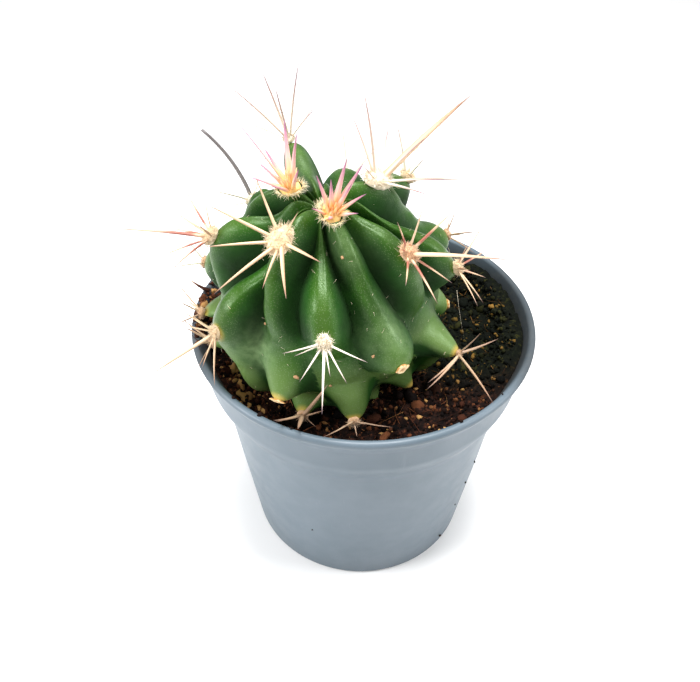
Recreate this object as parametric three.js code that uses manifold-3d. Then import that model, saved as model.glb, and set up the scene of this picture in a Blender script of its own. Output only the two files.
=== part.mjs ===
// A young ribbed barrel cactus in a small plastic nursery pot of soil.
// Millimetres, +Z up. The origin is the middle of the pot's underside, and the
// side that is usually looked at faces -Y.

import * as THREE from "three";
import Module from "manifold-3d";
import { mergeVertices } from "three/addons/utils/BufferGeometryUtils.js";

// Pot: a 5.5 cm round nursery pot
const POT_HEIGHT = 45.8;
const RIM_RADIUS = 27.5;
const COLLAR_RADIUS = 26.0;
const COLLAR_TOP = 42.2;
const COLLAR_FOOT = 36.8;
const SHOULDER_RADIUS = 23.9;
const SHOULDER_HEIGHT = 34.2;
const BASE_RADIUS = 20.3;
const WALL = 1.0;
const FLOOR = 1.2;
const FOOT_ROUND = 0.8;
const BEAD_ROUND = 0.62;
const STEP_ROUND = 0.4;
const POT_SIDES = 48;
const DRAIN_HOLES = 8;
const DRAIN_RADIUS = 1.7;
const DRAIN_RING = 13.2;
const DRAIN_SIDES = 10;

// Soil: fills the pot to a little below the rim, with a plain hole for the plant
const SOIL_TOP = 41.4;
const SOIL_RELIEF = 0.35;
const GAP = 0.37;
const HOLE_GAP = 0.85;
const HOLE_EDGE = 1.9;
const HOLE_REACH = 0.9;
const HOLE_FLOOR_RADIUS = 8.5;
const SOIL_STEPS_PER_RIB = 4;

// Stem: a sphere that leans towards the light, with an apex sunk between its ribs
const BODY_CENTRE = new THREE.Vector3(-5.4, -4.3, 54.4);
const BODY_RADIUS = 19.5;
const LEAN_FRONT = 13.0;
const LEAN_LEFT = 2.3;
const APEX_SINK = 3.2;
const APEX_SPREAD = 8.0;
const WAIST = 2.5;
const ROOT_LENGTH = 9.0;
const ROOT_SPREAD = 11.0;

// Ribs: thirteen, each a row of every thirteenth areole of the growth spiral
const RIBS = 13;
const GOLDEN_ANGLE = 137.508;
const FIRST_AZIMUTH = -68.3;
const FIRST_POLAR = 9.0;
const POLAR_SPAN = 126.0;
const AGE_SCALE = 19.0;
const OLDEST = 33;
const LOWEST_AREOLE = 4;
const FURROW_DEPTH = 6.0;
const LOW_FURROW_DEPTH = 3.5;
const CREASES = { apex: 0.3, crown: 2.4, shoulder: 2.0 };
const CONE_SHARPNESS = 0.6;
const NOSE_SHARPNESS = 1.7;
const STEPS_PER_RIB = 6;
const ROWS = { crown: 14, shoulder: 16, buried: 5 };
const ROW_ENDS = { crown: 78, shoulder: 129 };

// Chins: how steeply a tubercle falls off below its areole, on low cones and elsewhere
const CHIN_ANGLE = 13;
const CHIN_SHARE = 0.5;
const LONGEST_CHIN = 0.7;
const LOW_CONES = 78;

// A rib is narrow and sunk near the apex. It gains its room and height over these angles
// before its first areole, and it is widest at its areoles.
const ROOM_OPENS = [50, 14];
const LEAST_ROOM = 0.25;
const RISE_OPENS = [38, 10];
const SINK = 4.0;
const LEAST_RISE = 0.4;
const HEAD_ROOM = 0.28;
const HEAD_SPREAD = 13;
const HEAD_TOP = 3;
const HEAD_BLUNTNESS = 0.1;

// Polar angles, in degrees from the apex, between which a trait of the skin sets in
const ZONES = {
  apex: [0, 12],
  reach: [0, 20],
  sunk: [4, 28],
  crown: [15, 50],
  nose: [62, 82],
  shoulder: [50, 88],
  lowFurrow: [55, 95],
  cone: [84, 97],
  waist: [120, 150],
  furrowEnd: [120, 160],
  creaseEnd: [125, 150],
  coneEnd: [150, 170],
};

// Areoles: a wool pad that carries a star of spines
const PAD_HALF_LENGTH = 1.75;
const PAD_HALF_WIDTH = 1.35;
const PAD_HEIGHT = 0.75;
const YOUNG_PAD = 1.25;
const PAD_SHRINK = 0.05;
const LEAST_PAD = 0.7;
const PAD_SIDES = 7;
const SKIN_GAP = 0.62;
const SPINE_SIDES = 3;
const SPINE_ROOT = 0.55;
const SEED = 20413;

const wasm = await Module();
wasm.setup();

const degrees = THREE.MathUtils.degToRad;
const smooth = THREE.MathUtils.smoothstep;
const lerp = THREE.MathUtils.lerp;
const inZone = (zone, polar) => smooth(polar, ...ZONES[zone]);
const random = mulberry(SEED);

// A small repeatable random source in 0..1
function mulberry(seed) {
  let state = seed >>> 0;
  return () => {
    state = (state + 0x6d2b79f5) >>> 0;
    let mixed = state;
    mixed = Math.imul(mixed ^ (mixed >>> 15), mixed | 1);
    mixed ^= mixed + Math.imul(mixed ^ (mixed >>> 7), mixed | 61);
    return ((mixed ^ (mixed >>> 14)) >>> 0) / 4294967296;
  };
}

// The plant's own frame: its axis and two directions square to it
const AXIS = new THREE.Vector3(-Math.tan(degrees(LEAN_LEFT)), -Math.tan(degrees(LEAN_FRONT)), 1).normalize();
const SIDE = new THREE.Vector3(1, 0, 0).addScaledVector(AXIS, -AXIS.x).normalize();
const BACK = new THREE.Vector3().crossVectors(AXIS, SIDE);

// Areoles that stand off the spiral's own place: polar angle, and turn and reach beyond it.
// Some also have a chin, a sink above them or a filled chin of their own.
const OFF_SPIRAL = {
  0: { polar: 11.5, turn: 2, chin: 33 },
  1: { polar: 12, turn: 12 },
  2: { polar: 24.5, turn: 8, chin: 28 },
  3: { polar: 25.5, turn: -4, chin: 48 },
  4: { polar: 39, turn: 9.5, reach: 2.2 },
  5: { polar: 41.5, turn: 5, chin: 38 },
  6: { polar: 51, turn: -3, chin: 35 },
  7: { turn: -7 },
  8: { polar: 60, chin: 22, sink: 2.6 },
  9: { polar: 69, reach: -1.8, sink: 6.5 },
  10: { polar: 70, turn: -4, chin: 20, sink: 2 },
  12: { sink: 5 },
  13: { polar: 82, turn: -2 },
  15: { polar: 82, turn: -6 },
  16: { polar: 97, turn: -2 },
  18: { polar: 100, turn: -4, reach: 2, fill: 1 },
  19: { polar: 106 },
  21: { polar: 110, turn: -3, reach: 1 },
  23: { polar: 110, turn: -4 },
  24: { reach: -2.5 },
  27: { polar: 106, turn: 2, reach: 1.5 },
  29: { polar: 113, turn: -6 },
  31: { turn: -14, reach: 1.7 },
};

// Places on the growth spiral. Areole 0 is the youngest; rib i starts with areole 5 i mod 13.
const ribOf = (age) => (((-5 * age) % RIBS) + RIBS) % RIBS;
const youngestOf = (rib) => (5 * rib) % RIBS;
const RIB_PITCH = 360 / RIBS;
const TWIST = 5 * RIB_PITCH - GOLDEN_ANGLE;

function station(age) {
  const off = OFF_SPIRAL[age] ?? {};
  const polar = off.polar ?? FIRST_POLAR + POLAR_SPAN * Math.tanh(age / AGE_SCALE);
  return {
    age,
    polar,
    azimuth: FIRST_AZIMUTH + RIB_PITCH * ribOf(age) + TWIST * age + (off.turn ?? 0),
    reach: off.reach ?? 0,
    chin: off.chin ?? (polar > LOW_CONES ? CHIN_ANGLE : null),
    fill: off.fill ?? 0,
    sink: off.sink ?? SINK,
  };
}

// Each rib's stations from the apex down to the root
const ribStations = Array.from({ length: RIBS }, (_, rib) => {
  const first = youngestOf(rib);
  const row = [first, first + RIBS, first + 2 * RIBS].map(station);
  const top = { ...row[0], polar: -row[0].polar - 10, reach: 0 };
  const foot = { ...row[2], polar: 175, reach: 0 };
  return [top, ...row, foot];
});

// The areoles' own level, before ribs are cut into it
function hullRadius(polar) {
  const sink = APEX_SINK * Math.exp(-((polar / APEX_SPREAD) ** 2));
  const root = ROOT_LENGTH * Math.exp(-(((180 - polar) / ROOT_SPREAD) ** 2));
  return BODY_RADIUS - sink - WAIST * inZone("waist", polar) + root;
}

// Tubercles are round noses about the middle and pointed cones near the soil
const pointedness = ({ polar }) => inZone("cone", polar) * (1 - inZone("coneEnd", polar));

const rowOf = (rib) => ribStations[((rib % RIBS) + RIBS) % RIBS];

// One rib's crest at a polar angle: its azimuth, its radius and how full it is there.
// A tubercle rises slowly to its areole, and below the areole its chin falls off steeply.
function crest(rib, polar) {
  const row = rowOf(rib);
  let step = 0;
  while (step < row.length - 2 && polar >= row[step + 1].polar) step += 1;
  const from = row[step];
  const to = row[step + 1];
  const span = to.polar - from.polar;
  const along = (polar - from.polar) / span;
  const chin = from.chin === null ? CHIN_SHARE : Math.min(LONGEST_CHIN, from.chin / span);
  const phase = along < chin ? (0.5 * along) / chin : 0.5 + (0.5 * (along - chin)) / (1 - chin);
  const pointed = lerp(pointedness(from), pointedness(to), smooth(along, 0.1, 0.45));
  const nose = (0.5 + 0.5 * Math.cos(2 * Math.PI * phase)) ** NOSE_SHARPNESS;
  const swell = lerp(nose, Math.abs(1 - 2 * phase), CONE_SHARPNESS * pointed);
  const fade = 1 - inZone("creaseEnd", polar);
  const creases = Object.entries(CREASES).map(([zone, depth]) => depth * inZone(zone, polar));
  const filled = along < 0.5 ? from.fill : 0;
  const dip = fade * (1 - filled) * creases.reduce((sum, depth) => sum + depth);
  const reach = (along < 0.5 ? from.reach : to.reach) * inZone("reach", polar);
  return {
    azimuth: lerp(from.azimuth, to.azimuth, smooth(along, 0, 1)) + 360 * Math.floor(rib / RIBS),
    radius: hullRadius(polar) - dip * (1 - swell) + reach * swell ** 3 * fade,
    swell,
    fullness: 0.5 + 0.5 * Math.cos(2 * Math.PI * (phase + 0.13)),
    pointed,
  };
}

// A rib's share of the way round, how near it is to an areole, and its sink above its first
function ribRoom(rib, polar) {
  const row = rowOf(rib);
  const first = row[1];
  const opened = smooth(polar, first.polar - ROOM_OPENS[0], first.polar - ROOM_OPENS[1]);
  const risen = smooth(polar, first.polar - RISE_OPENS[0], first.polar - RISE_OPENS[1]);
  const nearness = (areole) => Math.exp(-(((polar - areole.polar + HEAD_TOP) / HEAD_SPREAD) ** 2));
  const head = Math.max(...row.slice(1, -1).map(nearness));
  return {
    share: lerp(LEAST_ROOM, 1, opened) * (1 + HEAD_ROOM * head),
    head,
    sink: first.sink * (1 - risen) * inZone("sunk", polar),
  };
}

// The skin at a polar angle and at a turn counted in ribs, from 0 to 13
function stemPoint(polar, turn, grown = 0) {
  const rib = Math.floor(turn);
  const across = turn - rib;
  const [near, far] = [crest(rib, polar), crest(rib + 1, polar)];
  const [nearRoom, farRoom] = [ribRoom(rib, polar), ribRoom(rib + 1, polar)];
  const [own, ownRoom] = across < 0.5 ? [near, nearRoom] : [far, farRoom];
  const furrow = lerp(near.azimuth, far.azimuth, nearRoom.share / (nearRoom.share + farRoom.share));
  const toFurrow = across < 0.5 ? 2 * across : 2 - 2 * across;
  const nosed = inZone("nose", polar) * (1 - own.pointed);
  const widest = lerp(FURROW_DEPTH, LOW_FURROW_DEPTH, inZone("lowFurrow", polar));
  const girth = Math.sin(degrees(polar));
  const deepest = widest * girth ** 0.75 * (1 - inZone("furrowEnd", polar));
  const floor = hullRadius(polar) - deepest - (nearRoom.sink + farRoom.sink) / 2;
  const top = Math.max(own.radius - ownRoom.sink, floor + LEAST_RISE * girth);
  const fuller = (0.15 + 0.45 * nosed) * own.fullness + HEAD_BLUNTNESS * ownRoom.head;
  const bluntness = Math.max(1.35 + 0.8 * own.pointed * own.swell ** 2 - fuller, 0.6);
  const radius = floor + (top - floor) * Math.abs(Math.cos(Math.PI * across)) ** bluntness;
  return onBody(polar, lerp(own.azimuth, furrow, toFurrow), radius + grown);
}

function direction(polar, azimuth) {
  const [p, a] = [degrees(polar), degrees(azimuth)];
  return new THREE.Vector3()
    .addScaledVector(SIDE, Math.sin(p) * Math.cos(a))
    .addScaledVector(BACK, Math.sin(p) * Math.sin(a))
    .addScaledVector(AXIS, Math.cos(p));
}

function onBody(polar, azimuth, radius) {
  return direction(polar, azimuth).multiplyScalar(radius).add(BODY_CENTRE);
}

// Geometry and solids
function weld(geometry) {
  geometry.deleteAttribute("normal");
  geometry.deleteAttribute("uv");
  return mergeVertices(geometry, 1e-4);
}

function solidOf(geometry) {
  const welded = weld(geometry);
  const vertProperties = Float32Array.from(welded.attributes.position.array);
  const triVerts = Uint32Array.from(welded.index.array);
  return new wasm.Manifold(new wasm.Mesh({ numProp: 3, vertProperties, triVerts }));
}

function geometryOf(solid) {
  const mesh = solid.getMesh();
  const geometry = new THREE.BufferGeometry();
  geometry.setAttribute("position", new THREE.BufferAttribute(mesh.vertProperties.slice(), 3));
  geometry.setIndex(new THREE.BufferAttribute(mesh.triVerts.slice(), 1));
  return geometry;
}

function piece(name, geometry, material) {
  const mesh = new THREE.Mesh(geometry, material);
  geometry.computeVertexNormals();
  mesh.name = name;
  return mesh;
}

const matte = (color, roughness) => new THREE.MeshStandardMaterial({ color, roughness, metalness: 0 });

const materials = {
  pot: matte(0x8993a0, 0.5),
  soil: matte(0x3a2618, 1.0),
  skin: matte(0x2f6b2a, 0.45),
  fresh: matte(0xe08a5a, 0.7),
  cream: matte(0xe8d3a8, 0.8),
  aged: matte(0xa88460, 0.85),
};

// Points on an arc in the plane of a turned profile, angles counted from straight out
function arc(radius, height, round, from, to, steps) {
  return Array.from({ length: steps + 1 }, (_, step) => {
    const angle = degrees(lerp(from, to, step / steps));
    return [radius + round * Math.cos(angle), height + round * Math.sin(angle)];
  });
}

// Pot: one wall turned about Z, with drain holes round a whole middle
function potInner(height) {
  if (height >= COLLAR_FOOT + WALL) return COLLAR_RADIUS - WALL;
  const share = Math.min(1, (height - FLOOR) / (SHOULDER_HEIGHT - FLOOR));
  return lerp(BASE_RADIUS, SHOULDER_RADIUS, share) - WALL;
}

function makePot() {
  const inner = COLLAR_RADIUS - WALL;
  const outline = [
    [0, 0],
    ...arc(BASE_RADIUS - FOOT_ROUND, FOOT_ROUND, FOOT_ROUND, -90, 0, 2),
    [SHOULDER_RADIUS, SHOULDER_HEIGHT],
    ...arc(COLLAR_RADIUS - STEP_ROUND, COLLAR_FOOT + STEP_ROUND, STEP_ROUND, -60, 0, 2),
    [COLLAR_RADIUS, COLLAR_TOP],
    ...arc(RIM_RADIUS - BEAD_ROUND, POT_HEIGHT - BEAD_ROUND, BEAD_ROUND, -45, 180, 5),
    [inner, COLLAR_TOP],
    [inner, COLLAR_FOOT + WALL],
    [SHOULDER_RADIUS - WALL, SHOULDER_HEIGHT],
    [BASE_RADIUS - WALL, FLOOR],
    [0, FLOOR],
  ];
  const profile = outline.map(([r, z]) => new THREE.Vector2(r, z));
  const turned = new THREE.LatheGeometry(profile, POT_SIDES).rotateX(Math.PI / 2);
  let pot = solidOf(turned);
  for (let hole = 0; hole < DRAIN_HOLES; hole += 1) {
    const angle = (2 * Math.PI * (hole + 0.5)) / DRAIN_HOLES;
    const drill = new THREE.CylinderGeometry(DRAIN_RADIUS, DRAIN_RADIUS, 4 * FLOOR, DRAIN_SIDES);
    drill.rotateX(Math.PI / 2);
    drill.translate(DRAIN_RING * Math.cos(angle), DRAIN_RING * Math.sin(angle), FLOOR / 2);
    pot = pot.subtract(solidOf(drill));
  }
  return piece("pot", geometryOf(pot), materials.pot);
}

// Stem: a sphere's grid moved onto the ribbed skin, finest where the tubercles are
const STEM_ROWS = ROWS.crown + ROWS.shoulder + ROWS.buried;

function rowPolar(row) {
  if (row <= ROWS.crown) return (ROW_ENDS.crown * row) / ROWS.crown;
  const past = row - ROWS.crown;
  if (past <= ROWS.shoulder) return lerp(ROW_ENDS.crown, ROW_ENDS.shoulder, past / ROWS.shoulder);
  return lerp(ROW_ENDS.shoulder, 180, (past - ROWS.shoulder) / ROWS.buried);
}

// Growth is radial, so it is larger where the skin runs steeply in and out
const steepness = (polar) => 2.3 - 0.9 * smooth(polar, 10, 60) + 0.1 * inZone("cone", polar);

function stemGeometry(grown) {
  const ball = new THREE.SphereGeometry(1, RIBS * STEPS_PER_RIB, STEM_ROWS);
  const { position, uv } = ball.attributes;
  for (let i = 0; i < position.count; i += 1) {
    const polar = rowPolar(Math.round((1 - uv.getY(i)) * STEM_ROWS));
    const turn = Math.abs(uv.getX(i) - 1) < 1e-6 ? 0 : uv.getX(i) * RIBS;
    const point = stemPoint(polar, turn, grown * steepness(polar));
    position.setXYZ(i, point.x, point.y, point.z);
  }
  return weld(ball);
}

// What lies on the skin is cut to this slightly larger stem, so that it stays clear of it
const clearance = solidOf(stemGeometry(SKIN_GAP));

const makeStem = () => piece("stem", stemGeometry(0), materials.skin);

// Soil: a crumbly disc from the pot's wall to a hole that follows the ribs
function stemOutline(turn, height) {
  let [above, below] = [70, 150];
  for (let halving = 0; halving < 30; halving += 1) {
    const middle = (above + below) / 2;
    if (stemPoint(middle, turn).z > height) above = middle;
    else below = middle;
  }
  return stemPoint(above, turn);
}

// The stem's widest point near the soil's surface, where a cone may overhang the soil
function widestOutline(turn) {
  const girth = (point) => Math.hypot(point.x - BODY_CENTRE.x, point.y - BODY_CENTRE.y);
  let widest = stemOutline(turn, SOIL_TOP);
  for (let polar = 70; polar <= 150; polar += 1) {
    const point = stemPoint(polar, turn);
    const isNear = Math.abs(point.z - SOIL_TOP) < HOLE_REACH;
    if (isNear && girth(point) > girth(widest)) widest = point;
  }
  return widest;
}

function soilHeight(x, y) {
  const long = Math.sin(0.9 * x + 0.4 * y) + Math.sin(0.55 * y - 0.7 * x + 1.3);
  const waves = long + Math.cos(1.3 * y + 0.2 * x);
  return SOIL_TOP + (SOIL_RELIEF / 2) * waves;
}

function makeSoil() {
  const wallRadius = (height) => potInner(height) - GAP;
  const rootTip = stemPoint(180, 0);
  const holeFloor = rootTip.z - GAP;
  const middle = new THREE.Vector2(BODY_CENTRE.x, BODY_CENTRE.y);
  const rings = [
    { height: FLOOR + GAP, around: middle, radius: 0 },
    { height: FLOOR + GAP, share: 1 },
    { height: SHOULDER_HEIGHT, share: 1 },
    { height: COLLAR_FOOT + WALL + GAP, share: 1 },
    { height: SOIL_TOP, share: 1, relief: 0.3 },
    { height: SOIL_TOP, share: 0.8, relief: 1 },
    { height: SOIL_TOP, share: 0.45, relief: 1 },
    { height: SOIL_TOP, share: 0.12, relief: 0.4 },
    { height: SOIL_TOP - HOLE_EDGE, share: 0 },
    { height: holeFloor, around: rootTip, radius: HOLE_FLOOR_RADIUS },
    { height: holeFloor, around: rootTip, radius: 0 },
  ];
  const steps = RIBS * SOIL_STEPS_PER_RIB;
  const profile = rings.map((ring) => new THREE.Vector2(ring.radius === 0 ? 0 : 1, ring.height));
  const disc = new THREE.LatheGeometry(profile, steps);
  const { position } = disc.attributes;
  for (let step = 0; step <= steps; step += 1) {
    const edge = widestOutline((RIBS * (step % steps)) / steps);
    const out = new THREE.Vector2(edge.x - BODY_CENTRE.x, edge.y - BODY_CENTRE.y).normalize();
    rings.forEach((ring, place) => {
      const point = new THREE.Vector2(edge.x, edge.y).addScaledVector(out, HOLE_GAP);
      if (ring.around) point.copy(ring.around).addScaledVector(out, ring.radius);
      else point.lerp(rayToCircle(out, wallRadius(ring.height)), ring.share);
      const lift = ring.relief ? ring.relief * (soilHeight(point.x, point.y) - SOIL_TOP) : 0;
      position.setXYZ(step * rings.length + place, point.x, point.y, ring.height + lift);
    });
  }
  return piece("soil", weld(disc), materials.soil);
}

// Where a ray from the body's centre meets a circle about the pot's axis
function rayToCircle(out, radius) {
  const from = new THREE.Vector2(BODY_CENTRE.x, BODY_CENTRE.y);
  const half = from.dot(out);
  const reach = -half + Math.sqrt(half * half - from.lengthSq() + radius * radius);
  return from.addScaledVector(out, reach);
}

// Spines: clock angle in the areole (0 points to the apex, 90 to the right), lean from
// straight out, and length. A fourth number bows the spine by that share of its length.
const SPINES = {
  0: [
    [-20, 35, 5], [50, 30, 7], [72, 42, 7], [95, 28, 5], [105, 55, 5],
    [140, 62, 4], [-85, 60, 3], [-150, 50, 4], [10, 12, 5],
  ],
  1: [
    [-90, 35, 8], [-30, 25, 7.5], [-142, 40, 5.5], [-165, 52, 4.8],
    [165, 62, 5], [30, 42, 5.5], [-160, 30, 10], [95, 50, 4.5],
  ],
  2: [
    [180, 32, 15], [-155, 25, 8], [55, 52, 8.5], [35, 32, 11.5],
    [-132, 62, 9.5], [-102, 68, 9], [-20, 62, 5.5], [115, 58, 8],
  ],
  3: [
    [-45, 60, 8], [-97, 62, 9.5], [-135, 62, 9], [177, 55, 12],
    [152, 66, 8], [126, 56, 13], [95, 62, 10], [35, 50, 5.5],
  ],
  4: [
    [10, 50, 9.5], [-25, 38, 11], [-42, 66, 6.5], [-155, 42, 7],
    [64, 42, 10.5], [24, 28, 10], [115, 60, 7], [-100, 60, 7],
  ],
  5: [
    [48, 60, 6], [90, 64, 7.5], [0, 68, 4.8], [-40, 68, 3.5],
    [-100, 68, 6.5], [-138, 65, 8], [-170, 60, 6.5], [178, 25, 13.5],
  ],
  6: [
    [-85, 55, 7.5], [-30, 60, 5], [170, 25, 11.5], [40, 62, 7],
    [95, 62, 9], [-150, 50, 6], [-125, 62, 7], [145, 50, 7],
  ],
  8: [
    [-88, 65, 5.5], [-102, 72, 4], [-140, 65, 5.5], [-176, 55, 8.5],
    [170, 62, 4], [148, 65, 5.5], [104, 65, 6],
  ],
  9: [[14, 35, 12, 0.13], [-60, 62, 6], [65, 60, 6.5], [135, 64, 6], [-140, 64, 6]],
  10: [
    [20, 62, 4.5], [75, 62, 7], [115, 58, 5.5], [165, 60, 5],
    [-145, 68, 6], [-105, 70, 6.5], [-50, 64, 5],
  ],
  11: [
    [-52, 60, 5.2], [-15, 58, 5.5], [-85, 50, 4.5], [-158, 42, 10],
    [165, 66, 5], [120, 66, 7], [60, 62, 5],
  ],
  14: [[0, 65, 5.7], [150, 38, 6.5], [-60, 62, 5.5], [60, 60, 5.5], [-150, 62, 5]],
  15: [[95, 62, 4], [-60, 52, 5], [20, 62, 4], [160, 55, 5], [-130, 62, 5]],
  18: [[35, 60, 4.6], [98, 56, 7], [-62, 52, 14], [-98, 70, 6], [150, 60, 4], [-20, 64, 5]],
  19: [[-45, 58, 6.5], [-10, 58, 5.5], [30, 60, 4.5], [80, 62, 5], [-85, 55, 4.5]],
  21: [[-72, 70, 5.5], [-24, 66, 5.5], [80, 70, 5.5], [30, 62, 3], [178, 15, 1.8]],
  27: [[-45, 58, 6], [10, 62, 5], [60, 60, 5], [-90, 50, 5]],
  29: [[-50, 58, 4.6], [8, 52, 4.4], [60, 60, 4.5], [40, 68, 5.5], [-75, 58, 4]],
};

// Areoles that have lost their spines and keep only a scab
const BARE = new Set([13, 16, 23]);

// Spines of an areole that is turned away: young ones a full star, old ones an upper fan
function spinesByRule(age) {
  const young = age < RIBS;
  const count = young ? 7 : 5;
  const sweep = young ? 360 / count : 50;
  const first = young ? 360 * random() : -100;
  const ring = Array.from({ length: count }, (_, n) => {
    const clock = first + sweep * n + 14 * (random() - 0.5);
    return [clock, 56 + 10 * random(), (young ? 7.5 : 5.2) * (0.8 + 0.4 * random())];
  });
  return young ? [...ring, [180 * random() - 90, 22, 10]] : ring;
}

// An areole's frame: its root on the skin, out of the skin, towards the apex, and right
function areoleFrame(age) {
  const { polar, azimuth } = station(age);
  const root = stemPoint(polar, ribOf(age));
  const level = polar < 80 ? polar : 80 + 0.35 * (polar - 80);
  const out = direction(level, azimuth);
  const up = AXIS.clone().addScaledVector(out, -AXIS.dot(out)).normalize();
  const right = new THREE.Vector3().crossVectors(up, out);
  return { age, polar, root, out, up, right };
}

// Wool pad: an oval cushion half sunk in the skin, and cut back there to the clearance
function padSolid(frame) {
  const size = Math.max(LEAST_PAD, YOUNG_PAD - PAD_SHRINK * frame.age);
  const cushion = new THREE.SphereGeometry(1, PAD_SIDES, 4);
  cushion.scale(PAD_HALF_WIDTH * size, PAD_HEIGHT * size + SKIN_GAP, PAD_HALF_LENGTH * size);
  const basis = new THREE.Matrix4().makeBasis(frame.right, frame.out, frame.up.clone().negate());
  return solidOf(cushion.applyMatrix4(basis.setPosition(frame.root)));
}

// Spine: a three-sided taper from inside the pad, bowed a little
function spineSolid(frame, [clock, lean, length, bow = 0.02]) {
  const width = (0.2 + 0.06 * length) * (frame.age < 2 ? 1.4 : 1);
  const cone = new THREE.ConeGeometry(width / 2, length, SPINE_SIDES, bow > 0.05 ? 4 : 2);
  cone.translate(0, length / 2, 0);
  const { position } = cone.attributes;
  for (let i = 0; i < position.count; i += 1) {
    const share = position.getY(i) / length;
    position.setX(i, position.getX(i) - 4 * bow * length * share * (1 - share));
  }
  const across = new THREE.Vector3()
    .addScaledVector(frame.up, Math.cos(degrees(clock)))
    .addScaledVector(frame.right, Math.sin(degrees(clock)));
  const along = frame.out.clone().multiplyScalar(Math.cos(degrees(lean)));
  along.addScaledVector(across, Math.sin(degrees(lean)));
  const outward = frame.out.clone().addScaledVector(along, -frame.out.dot(along)).normalize();
  const third = new THREE.Vector3().crossVectors(outward, along);
  const start = frame.root.clone().addScaledVector(frame.out, SPINE_ROOT);
  const placed = new THREE.Matrix4().makeBasis(outward.negate(), along, third.negate()).setPosition(start);
  return solidOf(cone.applyMatrix4(placed));
}

function makeAreole(age) {
  const frame = areoleFrame(age);
  let areole = padSolid(frame);
  const spines = BARE.has(age) ? [] : SPINES[age] ?? spinesByRule(age);
  for (const spine of spines) areole = areole.add(spineSolid(frame, spine));
  areole = areole.subtract(clearance);
  const coat = age < 2 ? materials.fresh : age < RIBS ? materials.cream : materials.aged;
  return piece(`areole_${String(age).padStart(2, "0")}`, geometryOf(areole), coat);
}

// The whole plant in its pot
const cactus = new THREE.Group();
cactus.name = "potted_barrel_cactus";
cactus.add(makePot(), makeSoil(), makeStem());
for (let age = 0; age <= OLDEST; age += 1) {
  const rootHeight = areoleFrame(age).root.z;
  if (rootHeight > SOIL_TOP + LOWEST_AREOLE || SPINES[age]) cactus.add(makeAreole(age));
}

export default cactus;
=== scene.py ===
# %% [markdown]
# # A young barrel cactus in a small nursery pot
#
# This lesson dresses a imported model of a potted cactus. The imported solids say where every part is
# and how large it is. Each cell below makes one part of the plant or its pot finer, gives it a
# finish made of nodes, and hands it back to the frame that it belongs to.
#
# All of Blender's numbers are metres, and a cactus this small is easier to think of in
# millimetres. So the shapes are modelled in millimetres and shrunk once, when a piece is finished.

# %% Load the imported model
import math
import random

import bmesh
import bpy
import numpy as np
from mathutils import Matrix, Vector, noise


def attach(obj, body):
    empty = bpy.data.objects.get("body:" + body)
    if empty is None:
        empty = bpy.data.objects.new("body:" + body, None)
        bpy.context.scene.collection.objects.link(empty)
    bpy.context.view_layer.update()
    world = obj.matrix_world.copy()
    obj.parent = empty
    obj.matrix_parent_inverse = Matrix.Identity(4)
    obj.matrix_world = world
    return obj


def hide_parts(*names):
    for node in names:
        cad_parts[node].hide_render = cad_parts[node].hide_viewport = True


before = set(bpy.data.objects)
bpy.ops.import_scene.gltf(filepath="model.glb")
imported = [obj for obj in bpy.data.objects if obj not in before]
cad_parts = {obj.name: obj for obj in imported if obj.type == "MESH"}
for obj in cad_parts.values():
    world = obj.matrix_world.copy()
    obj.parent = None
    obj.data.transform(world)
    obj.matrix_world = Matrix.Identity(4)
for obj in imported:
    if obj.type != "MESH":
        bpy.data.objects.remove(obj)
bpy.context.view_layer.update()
MM = 0.001
print("packed nodes:", len(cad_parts))

# %% [markdown]
# ## The camera
#
# A photograph taken from close by has strong perspective: the rim looks much wider than the foot.
# The camera has to stand at the same real distance, or no lens will make the shapes agree. This one
# is a hand's breadth from the plant and looks down on it. The near limit of the view is set to a
# few millimetres, because Blender's own limit would cut the plant away at this distance.

# %% Camera
CAMERA_PLACE = (-2.14, -86.61, 118.95)
CAMERA_PITCH = 42.54
CAMERA_ROLL = 0.73
LENS = 36.0
SENSOR_WIDTH = 36.0
NEAREST = 5.0
PLANT_MIDDLE = Vector((0, 0, 40)) * MM

camera_data = bpy.data.cameras.new("camera")
camera_data.lens = LENS
camera_data.sensor_width = SENSOR_WIDTH
camera_data.clip_start = NEAREST * MM
camera = bpy.data.objects.new("camera", camera_data)
bpy.context.scene.collection.objects.link(camera)
tilt = Matrix.Rotation(math.radians(90 - CAMERA_PITCH), 4, "X")
roll = Matrix.Rotation(math.radians(CAMERA_ROLL), 4, "Z")
camera.matrix_world = Matrix.Translation(Vector(CAMERA_PLACE) * MM) @ tilt @ roll
bpy.context.scene.camera = camera
print("camera is", round((camera.location - PLANT_MIDDLE).length / MM), "mm from the plant")

# %% [markdown]
# ## Light and floor
#
# The plant stands on a white sweep in a white room, so light comes from nearly everywhere, and the
# satin skin mirrors that white as soft grey-green sheens. A white world gives both. Two wide soft
# lights, one behind and above and one at the left, make the top of the plant a little brighter
# than its front.

# %% World, lights and floor
WORLD_LIGHT = 0.5
FLOOR_SIZE = 3000.0
PAPER_COLOUR = (0.93, 0.93, 0.93, 1)
PAPER_ROUGHNESS = 0.9
LIGHTS_AIM = (0, 0, 50)
SOFT_LIGHTS = {
    "light_above": {"place": (20, 20, 380), "size": 150, "power": 2.0},
    "light_left": {"place": (-270, -90, 200), "size": 150, "power": 1.1},
    "light_right": {"place": (280, -40, 190), "size": 130, "power": 0.6},
}

scene = bpy.context.scene
scene.view_settings.view_transform = "Standard"
world = bpy.data.worlds.new("white_room")
world.use_nodes = True
background = world.node_tree.nodes["Background"].inputs
background["Color"].default_value = (1.0, 1.0, 1.0, 1.0)
background["Strength"].default_value = WORLD_LIGHT
scene.world = world


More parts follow.
